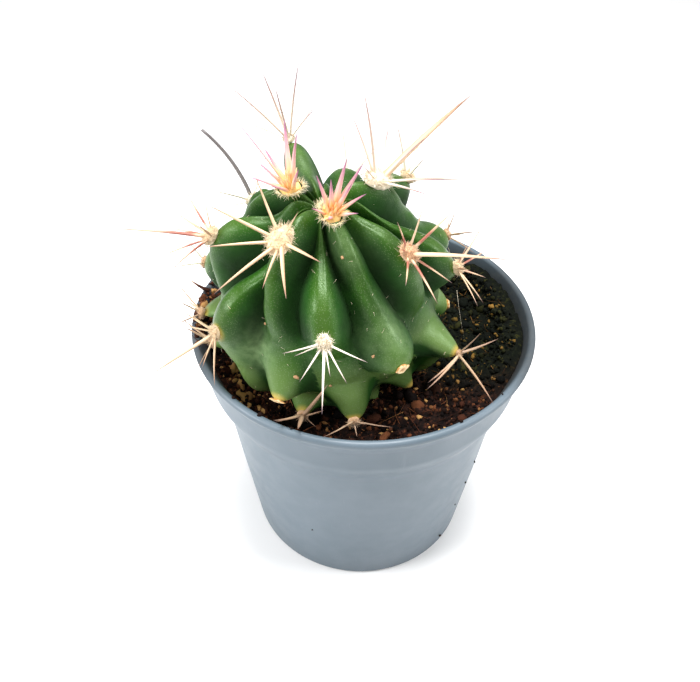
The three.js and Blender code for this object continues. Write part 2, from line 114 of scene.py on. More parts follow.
def add_soft_light(name, place, size, power):
    light = bpy.data.lights.new(name, "AREA")
    light.size = size * MM
    light.energy = power
    lamp = bpy.data.objects.new(name, light)
    lamp.location = Vector(place) * MM
    aim = Vector(LIGHTS_AIM) * MM - lamp.location
    lamp.rotation_euler = aim.to_track_quat("-Z", "Y").to_euler()
    scene.collection.objects.link(lamp)


for light_name, settings in SOFT_LIGHTS.items():
    add_soft_light(light_name, **settings)

bm = bmesh.new()
bmesh.ops.create_grid(bm, x_segments=1, y_segments=1, size=FLOOR_SIZE * MM / 2)
floor_mesh = bpy.data.meshes.new("floor")
bm.to_mesh(floor_mesh)
bm.free()
floor = bpy.data.objects.new("floor", floor_mesh)
scene.collection.objects.link(floor)
paper = bpy.data.materials.new("white_paper")
paper.use_nodes = True
paper_shader = paper.node_tree.nodes["Principled BSDF"].inputs
paper_shader["Base Color"].default_value = PAPER_COLOUR
paper_shader["Roughness"].default_value = PAPER_ROUGHNESS
floor_mesh.materials.append(paper)
print("lights:", list(SOFT_LIGHTS))

# %% [markdown]
# ## Small helpers
#
# A finish is a tree of nodes, and a tree is easier to read as nested function calls than as a list
# of links. These helpers make one node each and return the socket that comes out of it. Patterns
# read the Object coordinates, scaled so that one unit is one millimetre.

# %% Helpers for finishes
def colour(red, green, blue):
    """An sRGB colour, 0 to 255, as the linear numbers that a shader reads."""
    parts = (red, green, blue)
    linear = [((c / 255 + 0.055) / 1.055) ** 2.4 if c > 10 else c / 255 / 12.92 for c in parts]
    return (*linear, 1.0)


def new_finish(name):
    material = bpy.data.materials.new(name)
    material.use_nodes = True
    return material, material.node_tree, material.node_tree.nodes["Principled BSDF"]


def plug(tree, socket, value):
    if isinstance(value, bpy.types.NodeSocket):
        tree.links.new(value, socket)
    else:
        socket.default_value = value


def in_millimetres(tree, stretch=(1, 1, 1)):
    place = tree.nodes.new("ShaderNodeTexCoord").outputs["Object"]
    scaled = tree.nodes.new("ShaderNodeMapping")
    scaled.inputs["Scale"].default_value = [s / MM for s in stretch]
    tree.links.new(place, scaled.inputs["Vector"])
    return scaled.outputs["Vector"]


def cloud(tree, place, size, detail=3.0, roughness=0.55):
    """Soft noise from 0 to 1 whose blobs are about size millimetres across."""
    made = tree.nodes.new("ShaderNodeTexNoise")
    tree.links.new(place, made.inputs["Vector"])
    made.inputs["Scale"].default_value = 1 / size
    made.inputs["Detail"].default_value = detail
    made.inputs["Roughness"].default_value = roughness
    return made.outputs["Fac"]


def spots(tree, place, size, feature="F1"):
    made = tree.nodes.new("ShaderNodeTexVoronoi")
    made.feature = feature
    tree.links.new(place, made.inputs["Vector"])
    made.inputs["Scale"].default_value = 1 / size
    return made.outputs["Distance"]


def attribute(tree, name):
    made = tree.nodes.new("ShaderNodeAttribute")
    made.attribute_name = name
    return made.outputs["Fac"]


def ranged(tree, value, low, high, to_low=0.0, to_high=1.0):
    """Maps value from low..high to to_low..to_high with soft ends."""
    made = tree.nodes.new("ShaderNodeMapRange")
    made.interpolation_type = "SMOOTHSTEP"
    for socket, number in zip(made.inputs[1:5], (low, high, to_low, to_high)):
        socket.default_value = number
    tree.links.new(value, made.inputs["Value"])
    return made.outputs["Result"]


def mix(tree, share, first, second, blend="MIX"):
    made = tree.nodes.new("ShaderNodeMix")
    made.data_type = "RGBA"
    made.blend_type = blend
    plug(tree, made.inputs[0], share)
    plug(tree, made.inputs[6], first)
    plug(tree, made.inputs[7], second)
    return made.outputs[2]


def calculate(tree, operation, first, second=0.0):
    made = tree.nodes.new("ShaderNodeMath")
    made.operation = operation
    made.use_clamp = operation in ("ADD", "SUBTRACT")
    plug(tree, made.inputs[0], first)
    plug(tree, made.inputs[1], second)
    return made.outputs[0]


def ramp(tree, value, stops):
    """Colours by value: stops holds places from 0 to 1, each with an sRGB colour."""
    made = tree.nodes.new("ShaderNodeValToRGB")
    elements = made.color_ramp.elements
    while len(elements) < len(stops):
        elements.new(0.5)
    for element, (place, shade) in zip(elements, stops):
        element.position = place
        element.color = colour(*shade)
    tree.links.new(value, made.inputs["Fac"])
    return made.outputs["Color"]


def bump(tree, shader, height, depth, strength=1.0):
    """Raises the shading by height, where 1 stands for depth millimetres."""
    made = tree.nodes.new("ShaderNodeBump")
    made.inputs["Strength"].default_value = strength
    made.inputs["Distance"].default_value = depth * MM
    tree.links.new(height, made.inputs["Height"])
    tree.links.new(made.outputs["Normal"], shader.inputs["Normal"])


print("the helpers for finishes are ready")

# %% [markdown]
# ## Finishing a piece
#
# Every piece ends the same way. Its mesh is shrunk from millimetres, gets its materials, rides on the
# one body of this model, and hides the imported node that it stands for.
#
# Small things that repeat by the thousand, such as hairs and crumbs, start from one kept mesh. A
# copy of it is added to the piece's bmesh, and only the copy's vertices are then moved.

# %% Helpers for pieces
def finish_piece(bm, name, coats, slot, *stands_for):
    bmesh.ops.scale(bm, vec=(MM, MM, MM), verts=bm.verts)
    mesh = bpy.data.meshes.new(name)
    bm.to_mesh(mesh)
    bm.free()
    for coat in coats:
        mesh.materials.append(coat)
    mesh.polygons.foreach_set("use_smooth", [True] * len(mesh.polygons))
    piece = bpy.data.objects.new(name, mesh)
    scene.collection.objects.link(piece)
    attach(piece, "root")
    if stands_for:
        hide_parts(*stands_for)
    return piece


def kept_mesh(bm, name, coat=0):
    """Keeps a small bmesh for copying, all its faces in one material."""
    for face in bm.faces:
        face.material_index = coat
    mesh = bpy.data.meshes.new(name)
    bm.to_mesh(mesh)
    bm.free()
    return mesh


def add_copy(bm, mesh):
    """Adds a kept mesh to bm, and returns the copy's vertices."""
    before = len(bm.verts)
    bm.from_mesh(mesh)
    bm.verts.ensure_lookup_table()
    return bm.verts[before:]


def kept_taper(name, sides, cuts, coat=0):
    """A prism of radius 1 from z = 0 to 1, cut across, to be drawn out into a spine or a hair."""
    bm = bmesh.new()
    bmesh.ops.create_cone(bm, cap_ends=True, segments=sides, radius1=1, radius2=1, depth=1)
    bmesh.ops.translate(bm, verts=bm.verts, vec=(0, 0, 0.5))
    upright = [e for e in bm.edges if abs(e.verts[0].co.z - e.verts[1].co.z) > 0.5]
    bmesh.ops.subdivide_edges(bm, edges=upright, cuts=cuts)
    return kept_mesh(bm, name, coat)


def kept_ball(name, subdivisions, coat=0):
    bm = bmesh.new()
    bmesh.ops.create_icosphere(bm, subdivisions=subdivisions, radius=1)
    return kept_mesh(bm, name, coat)


def turned_profile(corners, steps):
    """A bmesh with a profile of (radius, height) corners spun once round Z."""
    bm = bmesh.new()
    verts = [bm.verts.new((radius, 0, height)) for radius, height in corners]
    edges = [bm.edges.new(pair) for pair in zip(verts, verts[1:])]
    bmesh.ops.spin(
        bm,
        geom=verts + edges,
        cent=(0, 0, 0),
        axis=(0, 0, 1),
        angle=math.tau,
        steps=steps,
        use_merge=True,
    )
    bmesh.ops.remove_doubles(bm, verts=bm.verts, dist=1e-4)
    bmesh.ops.recalc_face_normals(bm, faces=bm.faces)
    return bm


def lerp(first, second, share):
    return first + (second - first) * share


def smooth(value, low, high):
    share = min(max((value - low) / (high - low), 0.0), 1.0)
    return share * share * (3 - 2 * share)


print("the helpers for pieces are ready")

# %% [markdown]
# ## The plant's own geometry
#
# A cactus grows one areole at a time, each 137.5 degrees round from the last. Every thirteenth
# areole falls nearly in line, and those lines are the thirteen ribs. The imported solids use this
# rule, with small shifts for the areoles that stand off it, and the same rule is repeated here so
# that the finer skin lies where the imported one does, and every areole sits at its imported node.
#
# A few low tubercles have been shaped closer to the plant since the solids were packed (11, 12, 13,
# 24 and 31 below). The two skins part there by up to about two millimetres.

# %% Sizes of the plant
BODY_CENTRE = Vector((-5.4, -4.3, 54.4))
BODY_RADIUS = 19.5
LEAN_FRONT = 13.0
LEAN_LEFT = 2.3
APEX_SINK = 3.2
APEX_SPREAD = 8.0
WAIST = 2.5
ROOT_LENGTH = 9.0
ROOT_SPREAD = 11.0
RIBS = 13
RIB_PITCH = 360 / RIBS
GOLDEN_ANGLE = 137.508
TWIST = 5 * RIB_PITCH - GOLDEN_ANGLE
LOW_CONES = 78
FIRST_AZIMUTH = -68.3
FIRST_POLAR = 9.0
POLAR_SPAN = 126.0
AGE_SCALE = 19.0
FURROW_DEPTH = 6.0
LOW_FURROW_DEPTH = 3.5
CREASES = {"apex": 0.3, "crown": 2.4, "shoulder": 2.0}
CHIN_ANGLE = 13
CHIN_SHARE = 0.5
CONE_SHARPNESS = 0.6
ROOM_OPENS = (50, 14)
LEAST_ROOM = 0.25
RISE_OPENS = (38, 10)
SINK = 4.0
LEAST_RISE = 0.4
HEAD_ROOM = 0.28
HEAD_SPREAD = 13
HEAD_RISE = 3
HEAD_BLUNTNESS = 0.1
NOSE_SHARPNESS = 1.7
LONGEST_CHIN = 0.7
POINTING = (0.1, 0.45)
FULLEST_PHASE = 0.13
GIRTH_POWER = 0.75
BLUNTNESS = {"usual": 1.35, "cone": 0.8, "full": 0.15, "full_nose": 0.45, "least": 0.6}
ABOVE_FIRST = 10
FOOT_POLAR = 175
ZONES = {
    "sink": (4, 28),
    "apex": (0, 12),
    "reach": (0, 20),
    "crown": (15, 50),
    "nose": (62, 82),
    "shoulder": (50, 88),
    "lowFurrow": (55, 95),
    "cone": (84, 97),
    "waist": (120, 150),
    "furrowEnd": (120, 160),
    "creaseEnd": (125, 150),
    "coneEnd": (150, 170),
}
OFF_SPIRAL = {
    0: {"polar": 11.5, "turn": 2, "chin": 33},
    1: {"polar": 12, "turn": 12},
    2: {"polar": 24.5, "turn": 8, "chin": 28},
    3: {"polar": 25.5, "turn": -4, "chin": 48},
    4: {"polar": 39, "turn": 9.5, "reach": 2.2},
    5: {"polar": 41.5, "turn": 5, "chin": 38},
    6: {"polar": 51, "turn": -3, "chin": 35},
    7: {"turn": -7},
    8: {"polar": 60, "chin": 22, "sink": 2.6},
    9: {"polar": 69, "reach": -1.8, "sink": 6.5},
    10: {"polar": 70, "turn": -4, "chin": 20, "sink": 2},
    11: {"fill": 0.7},
    12: {"sink": 6},
    13: {"polar": 82, "turn": -2, "chin": 21},
    15: {"polar": 82, "turn": -6},
    16: {"polar": 97, "turn": -2},
    18: {"polar": 100, "turn": -4, "reach": 2, "fill": 1},
    19: {"polar": 106},
    21: {"polar": 110, "turn": -3, "reach": 1},
    23: {"polar": 110, "turn": -4},
    24: {"reach": -1},
    27: {"polar": 106, "turn": 2, "reach": 1.5},
    29: {"polar": 113, "turn": -6},
    31: {"polar": 117, "turn": -19, "fill": 1},
}
AXIS = Vector((-math.tan(math.radians(LEAN_LEFT)), -math.tan(math.radians(LEAN_FRONT)), 1)).normalized()
SIDE = (Vector((1, 0, 0)) - AXIS * AXIS.x).normalized()
BACK = AXIS.cross(SIDE)
print("the plant leans", round(math.degrees(AXIS.angle(Vector((0, 0, 1)))), 1), "degrees")

# %% Places on the growth spiral
def in_zone(zone, polar):
    return smooth(polar, *ZONES[zone])


def rib_of(age):
    return (-5 * age) % RIBS


def station(age):
    """Where an areole sits: its angle from the apex, its azimuth, and how far it reaches out."""
    off = OFF_SPIRAL.get(age, {})
    azimuth = FIRST_AZIMUTH + RIB_PITCH * rib_of(age) + TWIST * age + off.get("turn", 0)
    polar = off.get("polar", FIRST_POLAR + POLAR_SPAN * math.tanh(age / AGE_SCALE))
    return {
        "age": age,
        "polar": polar,
        "azimuth": azimuth,
        "reach": off.get("reach", 0),
        "chin": off.get("chin", CHIN_ANGLE if polar > LOW_CONES else None),
        "fill": off.get("fill", 0),
        "sink": off.get("sink", SINK),
    }


def rib_stations(rib):
    first = (5 * rib) % RIBS
    row = [station(first + RIBS * n) for n in range(3)]
    top = {**row[0], "polar": -row[0]["polar"] - ABOVE_FIRST, "reach": 0, "fill": 0}
    foot = {**row[2], "polar": FOOT_POLAR, "reach": 0}
    return [top, *row, foot]


RIB_ROWS = [rib_stations(rib) for rib in range(RIBS)]


def pointedness(place):
    return in_zone("cone", place["polar"]) * (1 - in_zone("coneEnd", place["polar"]))


def room(rib, polar):
    """A rib's share of the way round, its nearness to an areole, and its sink above the first one."""
    row = RIB_ROWS[rib % RIBS]
    first = row[1]["polar"]
    opening = smooth(polar, first - ROOM_OPENS[0], first - ROOM_OPENS[1])
    heads = [(polar - place["polar"] + HEAD_RISE) / HEAD_SPREAD for place in row[1:-1]]
    head = max(math.exp(-(off**2)) for off in heads)
    risen = smooth(polar, first - RISE_OPENS[0], first - RISE_OPENS[1])
    sink = row[1]["sink"] * (1 - risen) * in_zone("sink", polar)
    return lerp(LEAST_ROOM, 1, opening) * (1 + HEAD_ROOM * head), head, sink


def hull_radius(polar):
    sink = APEX_SINK * math.exp(-((polar / APEX_SPREAD) ** 2))
    root = ROOT_LENGTH * math.exp(-(((180 - polar) / ROOT_SPREAD) ** 2))
    return BODY_RADIUS - sink - WAIST * in_zone("waist", polar) + root


def direction(polar, azimuth):
    p, a = math.radians(polar), math.radians(azimuth)
    across = SIDE * math.cos(a) + BACK * math.sin(a)
    return across * math.sin(p) + AXIS * math.cos(p)


print("the youngest areoles point to", [round(station(age)["azimuth"] % 360) for age in range(3)])

# %% [markdown]
# A rib is a row of tubercles. Each one rises slowly to its areole, and its chin falls off steeply
# below. About the middle of the plant a tubercle is a round nose, and near the soil it is a cone.
# Between two ribs the skin runs down into a furrow.

# %% The skin's own formula
def crest(rib, polar):
    """One rib's crest at an angle from the apex: azimuth, radius, swell, fullness, pointedness."""
    row = RIB_ROWS[rib % RIBS]
    step = 0
    while step < len(row) - 2 and polar >= row[step + 1]["polar"]:
        step += 1
    start, end = row[step], row[step + 1]
    span = end["polar"] - start["polar"]
    along = (polar - start["polar"]) / span
    chin = CHIN_SHARE if start["chin"] is None else min(LONGEST_CHIN, start["chin"] / span)
    phase = 0.5 * along / chin if along < chin else 0.5 + 0.5 * (along - chin) / (1 - chin)
    pointed = lerp(pointedness(start), pointedness(end), smooth(along, *POINTING))
    nose = (0.5 + 0.5 * math.cos(math.tau * phase)) ** NOSE_SHARPNESS
    swell = lerp(nose, abs(1 - 2 * phase), CONE_SHARPNESS * pointed)
    fade = 1 - in_zone("creaseEnd", polar)
    dip = fade * sum(depth * in_zone(zone, polar) for zone, depth in CREASES.items())
    dip *= 1 - start["fill"]
    reach = (start if along < 0.5 else end)["reach"] * in_zone("reach", polar)
    azimuth = lerp(start["azimuth"], end["azimuth"], smooth(along, 0, 1)) + 360 * (rib // RIBS)
    radius = hull_radius(polar) - dip * (1 - swell) + reach * swell**3 * fade
    fullness = 0.5 + 0.5 * math.cos(math.tau * (phase + FULLEST_PHASE))
    return azimuth, radius, swell, fullness, pointed


def skin_at(polar, turn):
    """The skin at a polar angle and a turn counted in ribs: its azimuth, radius and crest share."""
    rib = math.floor(turn)
    across = turn - rib
    near, far = crest(rib, polar), crest(rib + 1, polar)
    near_room, near_head, near_sink = room(rib, polar)
    far_room, far_head, far_sink = room(rib + 1, polar)
    furrow = lerp(near[0], far[0], near_room / (near_room + far_room))
    if across < 0.5:
        azimuth = lerp(near[0], furrow, 2 * across)
        head, sink = near_head, near_sink
    else:
        azimuth = lerp(furrow, far[0], 2 * across - 1)
        head, sink = far_head, far_sink
    _, own_radius, swell, fullness, pointed = near if across < 0.5 else far
    nosed = in_zone("nose", polar) * (1 - pointed)
    widest = lerp(FURROW_DEPTH, LOW_FURROW_DEPTH, in_zone("lowFurrow", polar))
    girth = max(math.sin(math.radians(polar)), 0)
    deepest = widest * girth**GIRTH_POWER
    bottom = hull_radius(polar) - deepest * (1 - in_zone("furrowEnd", polar))
    bottom -= (near_sink + far_sink) / 2
    crest_radius = max(own_radius - sink, bottom + LEAST_RISE * girth)
    bluntness = BLUNTNESS["usual"] + BLUNTNESS["cone"] * pointed * swell**2
    bluntness -= (BLUNTNESS["full"] + BLUNTNESS["full_nose"] * nosed) * fullness
    bluntness -= HEAD_BLUNTNESS * head
    profile = abs(math.cos(math.pi * across)) ** max(bluntness, BLUNTNESS["least"])
    radius = bottom + (crest_radius - bottom) * profile
    return {"azimuth": azimuth, "radius": radius, "profile": profile, "crest_radius": crest_radius}


def skin_point(polar, turn):
    place = skin_at(polar, turn)
    return BODY_CENTRE + direction(polar, place["azimuth"]) * place["radius"]


print("the plant's top is at", round(skin_point(12, rib_of(0)).z, 1), "mm")

# %% [markdown]
# ## The skin
#
# The body starts as a sphere of longitudes and latitudes, 24 longitudes to a rib, and each vertex
# moves out to the formula's place. Four things are added that only the fine mesh can hold: a
# shallow groove along each young crest, whose two edges catch the light, slow unevenness over a
# few millimetres, fine wrinkles in the furrows, and flesh that has filled two furrows near the soil.
# Low on the plant the walls of a furrow meet in a soft fold, so smoothing rounds them there.
#
# The mesh also remembers what each point is, for the finish: how far below its crest it lies, which
# sets the painted shade, how far from the apex, and how close to an areole.

# %% The stem's mesh
SKIN_LONGITUDES = RIBS * 24
SKIN_LATITUDES = 170
GROOVE_DEPTH = 0.36
GROOVE_WIDTH = 0.115
UNEVENNESS = 0.16
UNEVENNESS_SIZE = 4.2
WRINKLES = 0.05
WRINKLE_SIZE = 1.1
CREST_CALM = 1.3
SADDLE_SHADE = 0.2
GROOVE_STARTS = (12, 22)
GROOVE_ENDS = (55, 80)
EVEN_APEX = (3, 12)
FURROW_FILLS = {11: (92, 108, 1.1), 0: (84, 100, 1.3)}
FILL_SOFTNESS = 0.35
LEAST_FLESH = 0.1
CREASE = 0.01
FOLD = 0.3
FOLDS_START = 68
FOLD_PASSES = 4
FOLD_EASE = 0.5
EVERY_AXIS = {"use_axis_x": True, "use_axis_y": True, "use_axis_z": True}
OLDEST = 33


def relief(point, polar, turn, profile):
    """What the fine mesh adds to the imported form, outwards: wrinkles are strongest in the furrows."""
    off_crest = abs((turn + 0.5) % 1 - 0.5)
    young = smooth(polar, *GROOVE_STARTS) * (1 - smooth(polar, *GROOVE_ENDS))
    groove = GROOVE_DEPTH * math.exp(-((off_crest / GROOVE_WIDTH) ** 2)) * young
    slow = UNEVENNESS * noise.noise(point / UNEVENNESS_SIZE)
    fine = WRINKLES * noise.noise(point / WRINKLE_SIZE) * (CREST_CALM - profile)
    return (slow + fine) * smooth(polar, *EVEN_APEX) - groove


def furrow_fill(radius, polar, turn):
    """How far flesh has filled a low furrow: all but a given depth below the two crests beside it."""
    rib = math.floor(turn)
    if rib not in FURROW_FILLS:
        return 0.0
    start, full, depth_left = FURROW_FILLS[rib]
    level = lerp(crest(rib, polar)[1], crest(rib + 1, polar)[1], turn - rib) - depth_left
    soft = FILL_SOFTNESS * math.log1p(math.exp((level - radius) / FILL_SOFTNESS))
    return soft * smooth(polar, start, full)


bm = bmesh.new()
bmesh.ops.create_uvsphere(bm, u_segments=SKIN_LONGITUDES, v_segments=SKIN_LATITUDES, radius=1)
skin_facts = []
in_furrows = set()
folds = []
for vertex in bm.verts:
    polar = math.degrees(math.acos(max(-1.0, min(1.0, vertex.co.z))))
    turn = (math.atan2(vertex.co.y, vertex.co.x) / math.tau * RIBS) % RIBS
    place = skin_at(polar, turn)
    out = direction(polar, place["azimuth"])
    point = BODY_CENTRE + out * place["radius"]
    flesh = furrow_fill(place["radius"], polar, turn)
    vertex.co = point + out * (relief(point, polar, turn, place["profile"]) + flesh)
    # How far the point lies below its crest, kept for the painted shade in the furrows.
    below_crest = place["crest_radius"] - place["radius"]
    below_hull = max(hull_radius(polar) - place["crest_radius"], 0)
    skin_facts.append((*vertex.co, polar, below_crest + SADDLE_SHADE * below_hull))
    if polar > FOLDS_START and place["profile"] < FOLD:
        folds.append(vertex)
    elif place["profile"] < CREASE and flesh < LEAST_FLESH:
        in_furrows.add(vertex)
for edge in bm.edges:
    edge.smooth = not in_furrows.issuperset(edge.verts)
for _ in range(FOLD_PASSES):
    bmesh.ops.smooth_vert(bm, verts=folds, factor=FOLD_EASE, **EVERY_AXIS)
skin_facts = np.array(skin_facts)
print("skin vertices:", len(skin_facts))

# %% What each point of the skin is
HALO_REACH = 1.7
TIP_REACH = 1.7
CONE_TIPS = (11, 16, 18, 21, 23, 26, 27, 29)
# Grey-green patches on the skin, partly a bloom of wax and partly painted highlights.
BLOOM_AND_HIGHLIGHT_REACH = 3.2
BLOOMS_AND_HIGHLIGHTS = {(70, 12.85): 0.16, (66, 0.12): 0.25, (84, 10.45): 0.6, (23, 6): 0.2, (27, 12.93): 0.25}

areole_roots = {age: skin_point(station(age)["polar"], rib_of(age)) for age in range(OLDEST + 1)}


def closeness(roots, reach):
    """1 at the nearest of the roots, falling off over reach millimetres."""
    spread = skin_facts[:, None, :3] - np.array(roots)[None]
    nearest = np.sqrt((spread**2).sum(2)).min(1)
    return np.exp(-((nearest / reach) ** 2))


bloom_and_highlight_parts = [share * closeness([skin_point(*place)], BLOOM_AND_HIGHLIGHT_REACH) for place, share in BLOOMS_AND_HIGHLIGHTS.items()]
skin_marks = {
    # sunk: how far below its crest a point lies, which sets the painted shade.
    "sunk": skin_facts[:, 4],
    "from_apex": skin_facts[:, 3] / 180,
    "halo": closeness(list(areole_roots.values()), HALO_REACH),
    "tip": closeness([areole_roots[age] for age in CONE_TIPS], TIP_REACH),
    "bloom_and_highlight": sum(bloom_and_highlight_parts),
}
print("marks on the skin:", list(skin_marks))

# %% [markdown]
# ## The skin's finish
#
# Living skin isn't one green. Its colour is painted darker the further a point lies below its crest,
# down to near black in the deep furrows: painted shade, where little light gets in. The young flanks
# are a clear leaf green. Near the soil it turns a dull grey-green, partly where old wax has turned
# cloudy and partly painted light, which makes the lower plant lighter than its top. Round each areole
# it pales to yellow-green, and the tips of old cones turn the yellow of straw. A few places have a
# thick grey-green patch, partly a bloom of wax and partly a painted highlight. Over all that lie pores
# as pale dust, kept out of the furrows so that they show only on the lit skin, and a satin that mirrors
# the room.

# %% Skin finish
GREEN_SHEEN = (0.76, 1.0, 0.66, 1.0)
SKIN_SHINE = 0.34
DARKEST_SHADE_DEPTH = 5.0
GREENS_SHADED_BY_DEPTH = [(0.0, (58, 88, 30)), (0.14, (42, 80, 16)), (0.34, (17, 62, 3)), (0.7, (3, 42, 0))]
SKIN_COLOURS = {
    "darker": (176, 190, 176),
    "waxy_and_lit": (98, 124, 66),
    "bloom_and_highlight": (134, 162, 110),
    "halo": (92, 124, 34),
    "straw": (196, 168, 84),
    "pores": (132, 150, 112),
}

tints = {name: colour(*shade) for name, shade in SKIN_COLOURS.items()}
skin_finish, tree, shader = new_finish("cactus_skin")
mm = in_millimetres(tree)
# Painted shade: the green darkens the further a point lies below its crest, to near black in the
# furrows.
shade_depth_share = calculate(tree, "DIVIDE", attribute(tree, "sunk"), DARKEST_SHADE_DEPTH)
shaded_by_depth = ramp(tree, shade_depth_share, GREENS_SHADED_BY_DEPTH)
age_share = attribute(tree, "from_apex")
patches = cloud(tree, mm, 6.0)
darker = mix(tree, 1.0, shaded_by_depth, tints["darker"], "MULTIPLY")
mottled = mix(tree, ranged(tree, patches, 0.35, 0.7), shaded_by_depth, darker)
# Paler grey-green low on the plant: partly cloudy old wax, partly painted light that makes the lower
# plant lighter than its top.
waxy_and_lit_clouds = ranged(tree, patches, 0.2, 0.75, 0.55, 0.95)
waxy_and_lit_share = calculate(tree, "MULTIPLY", ranged(tree, age_share, 0.37, 0.56), waxy_and_lit_clouds)
in_furrow = ranged(tree, shade_depth_share, 0.06, 0.5)
waxy_and_lit = mix(tree, calculate(tree, "SUBTRACT", waxy_and_lit_share, in_furrow), mottled, tints["waxy_and_lit"])
# The grey-green patches: wax bloom and painted highlight together.
bloom_and_highlight_clouds = ranged(tree, cloud(tree, mm, 1.2), 0.25, 0.7, 0.4, 1.0)
bloom_and_highlight_share = calculate(tree, "MULTIPLY", attribute(tree, "bloom_and_highlight"), bloom_and_highlight_clouds)
bloomed_and_highlighted = mix(tree, bloom_and_highlight_share, waxy_and_lit, tints["bloom_and_highlight"])
haloed = mix(tree, ranged(tree, attribute(tree, "halo"), 0.25, 1.0, 0.0, 0.5), bloomed_and_highlighted, tints["halo"])
tipped = mix(tree, ranged(tree, attribute(tree, "tip"), 0.35, 0.95), haloed, tints["straw"])
# Pale pores, partly painted glints: they are kept out of the furrows, so they show only where the skin
# is lit.
pores = ranged(tree, spots(tree, mm, 0.24), 0.05, 0.4, 0.36, 0.0)
lit_pores = calculate(tree, "MULTIPLY", pores, calculate(tree, "SUBTRACT", 1.0, in_furrow))
speckled = mix(tree, lit_pores, tipped, tints["pores"])
plug(tree, shader.inputs["Base Color"], speckled)
satin = ranged(tree, cloud(tree, mm, 2.2), 0.3, 0.7, 0.27, 0.42)
dull_furrow = calculate(tree, "MULTIPLY", in_furrow, 0.4)
plug(tree, shader.inputs["Roughness"], calculate(tree, "ADD", satin, dull_furrow))
shader.inputs["Specular IOR Level"].default_value = SKIN_SHINE
shader.inputs["Specular Tint"].default_value = GREEN_SHEEN
fine_grain = calculate(tree, "MULTIPLY", cloud(tree, mm, 0.17, 1.0), 0.36)
skin_grain = calculate(tree, "ADD", fine_grain, calculate(tree, "MULTIPLY", cloud(tree, mm, 1.6), 0.6))
bump(tree, shader, skin_grain, 0.12, 0.8)

stem = finish_piece(bm, "cactus_stem", [skin_finish], "skin", "stem")
for mark, values in skin_marks.items():
    layer = stem.data.attributes.new(mark, "FLOAT", "POINT")
    layer.data.foreach_set("value", np.clip(values, 0, None).astype(np.float32))
print("skin triangles:", sum(len(p.vertices) - 2 for p in stem.data.polygons))

# %% [markdown]
# ## Areoles
#
# An areole is a cushion of felt that carries a star of spines. Its frame says which way is out of
# the skin, which way is up towards the apex, and which way is right. The spines are written down
# as a maker would read them off the plant: clock angle, lean away from straight out, and length. A
# few rows add how far the spine bows and how wide it is. The spines on the far side follow a rule,
# with a random source that gives the same draw every time.

# %% Spines, areole by areole
SPINES = {
    0: [
        (-20, 35, 5), (50, 30, 7), (72, 42, 7), (95, 28, 5), (105, 55, 5), (140, 62, 4),
        (-85, 60, 3), (-150, 50, 4), (10, 12, 5),
    ],
    1: [
        (-90, 35, 8), (-30, 25, 7.5), (-142, 40, 5.5), (-165, 52, 4.8), (165, 62, 5),
        (30, 42, 5.5), (-160, 30, 10, 0.02, 0.5), (95, 50, 4.5),
    ],
    2: [
        (180, 32, 15, 0.02, 1.3), (-155, 25, 8), (55, 52, 8.5), (35, 32, 11.5),
        (-132, 62, 9.5), (-102, 68, 9), (-20, 62, 5.5), (115, 58, 8),
    ],
    3: [
        (-45, 60, 8), (-97, 62, 9.5), (-135, 62, 9), (177, 55, 12), (152, 66, 8),
        (126, 56, 13), (95, 62, 10), (35, 50, 5.5),
    ],
    4: [
        (10, 50, 9.5), (-25, 38, 11), (-42, 66, 6.5), (-155, 42, 7), (64, 42, 10.5),
        (24, 28, 10), (115, 60, 7), (-100, 60, 7),
    ],
    5: [
        (48, 60, 6), (90, 64, 7.5), (0, 68, 4.8), (-40, 68, 3.5), (-100, 68, 6.5),
        (-138, 65, 8), (-170, 60, 6.5), (178, 25, 13.5),
    ],
    6: [
        (-85, 55, 7.5), (-30, 60, 5), (170, 25, 11.5), (40, 62, 7), (95, 62, 9),
        (-150, 50, 6), (-125, 62, 7), (145, 50, 7),
    ],
    8: [
        (-88, 65, 5.5), (-102, 72, 4), (-140, 65, 5.5), (-176, 55, 8.5), (170, 62, 4),
        (148, 65, 5.5), (104, 65, 6),
    ],
    9: [(14, 35, 12, 0.2, 0.75), (-60, 62, 6), (65, 60, 6.5), (135, 64, 6), (-140, 64, 6)],
    10: [
        (20, 62, 4.5), (75, 62, 7), (115, 58, 5.5), (165, 60, 5), (-145, 68, 6),
        (-105, 70, 6.5), (-50, 64, 5),
    ],
    11: [
        (-52, 60, 5.2), (-15, 58, 5.5), (-85, 50, 4.5), (-158, 42, 10), (165, 66, 5),
        (120, 66, 7), (60, 62, 5),
    ],
    14: [(0, 65, 5.7), (150, 38, 6.5), (-60, 62, 5.5), (60, 60, 5.5), (-150, 62, 5)],
    15: [(95, 62, 4), (-60, 52, 5), (20, 62, 4), (160, 55, 5), (-130, 62, 5)],
    18: [(32, 68, 4.5), (108, 64, 7.5), (-60, 52, 12.5, 0.02, 0.5), (-76, 100, 9), (-73, 103, 8.3)],
    19: [(-45, 58, 6.5), (-10, 58, 5.5), (30, 60, 4.5), (80, 62, 5), (-85, 55, 4.5)],
    21: [(-72, 70, 5.5), (-24, 66, 5.5), (80, 70, 5.5), (30, 62, 3), (178, 15, 1.8)],
    27: [(-45, 58, 6), (10, 62, 5), (60, 60, 5), (-90, 50, 5)],
    29: [(-14, 60, 9), (12, 58, 10.5), (64, 64, 3.2), (44, 92, 5), (24, 96, 10.5), (-50, 58, 4.6)],
}
print("areoles with spines set by hand:", len(SPINES))

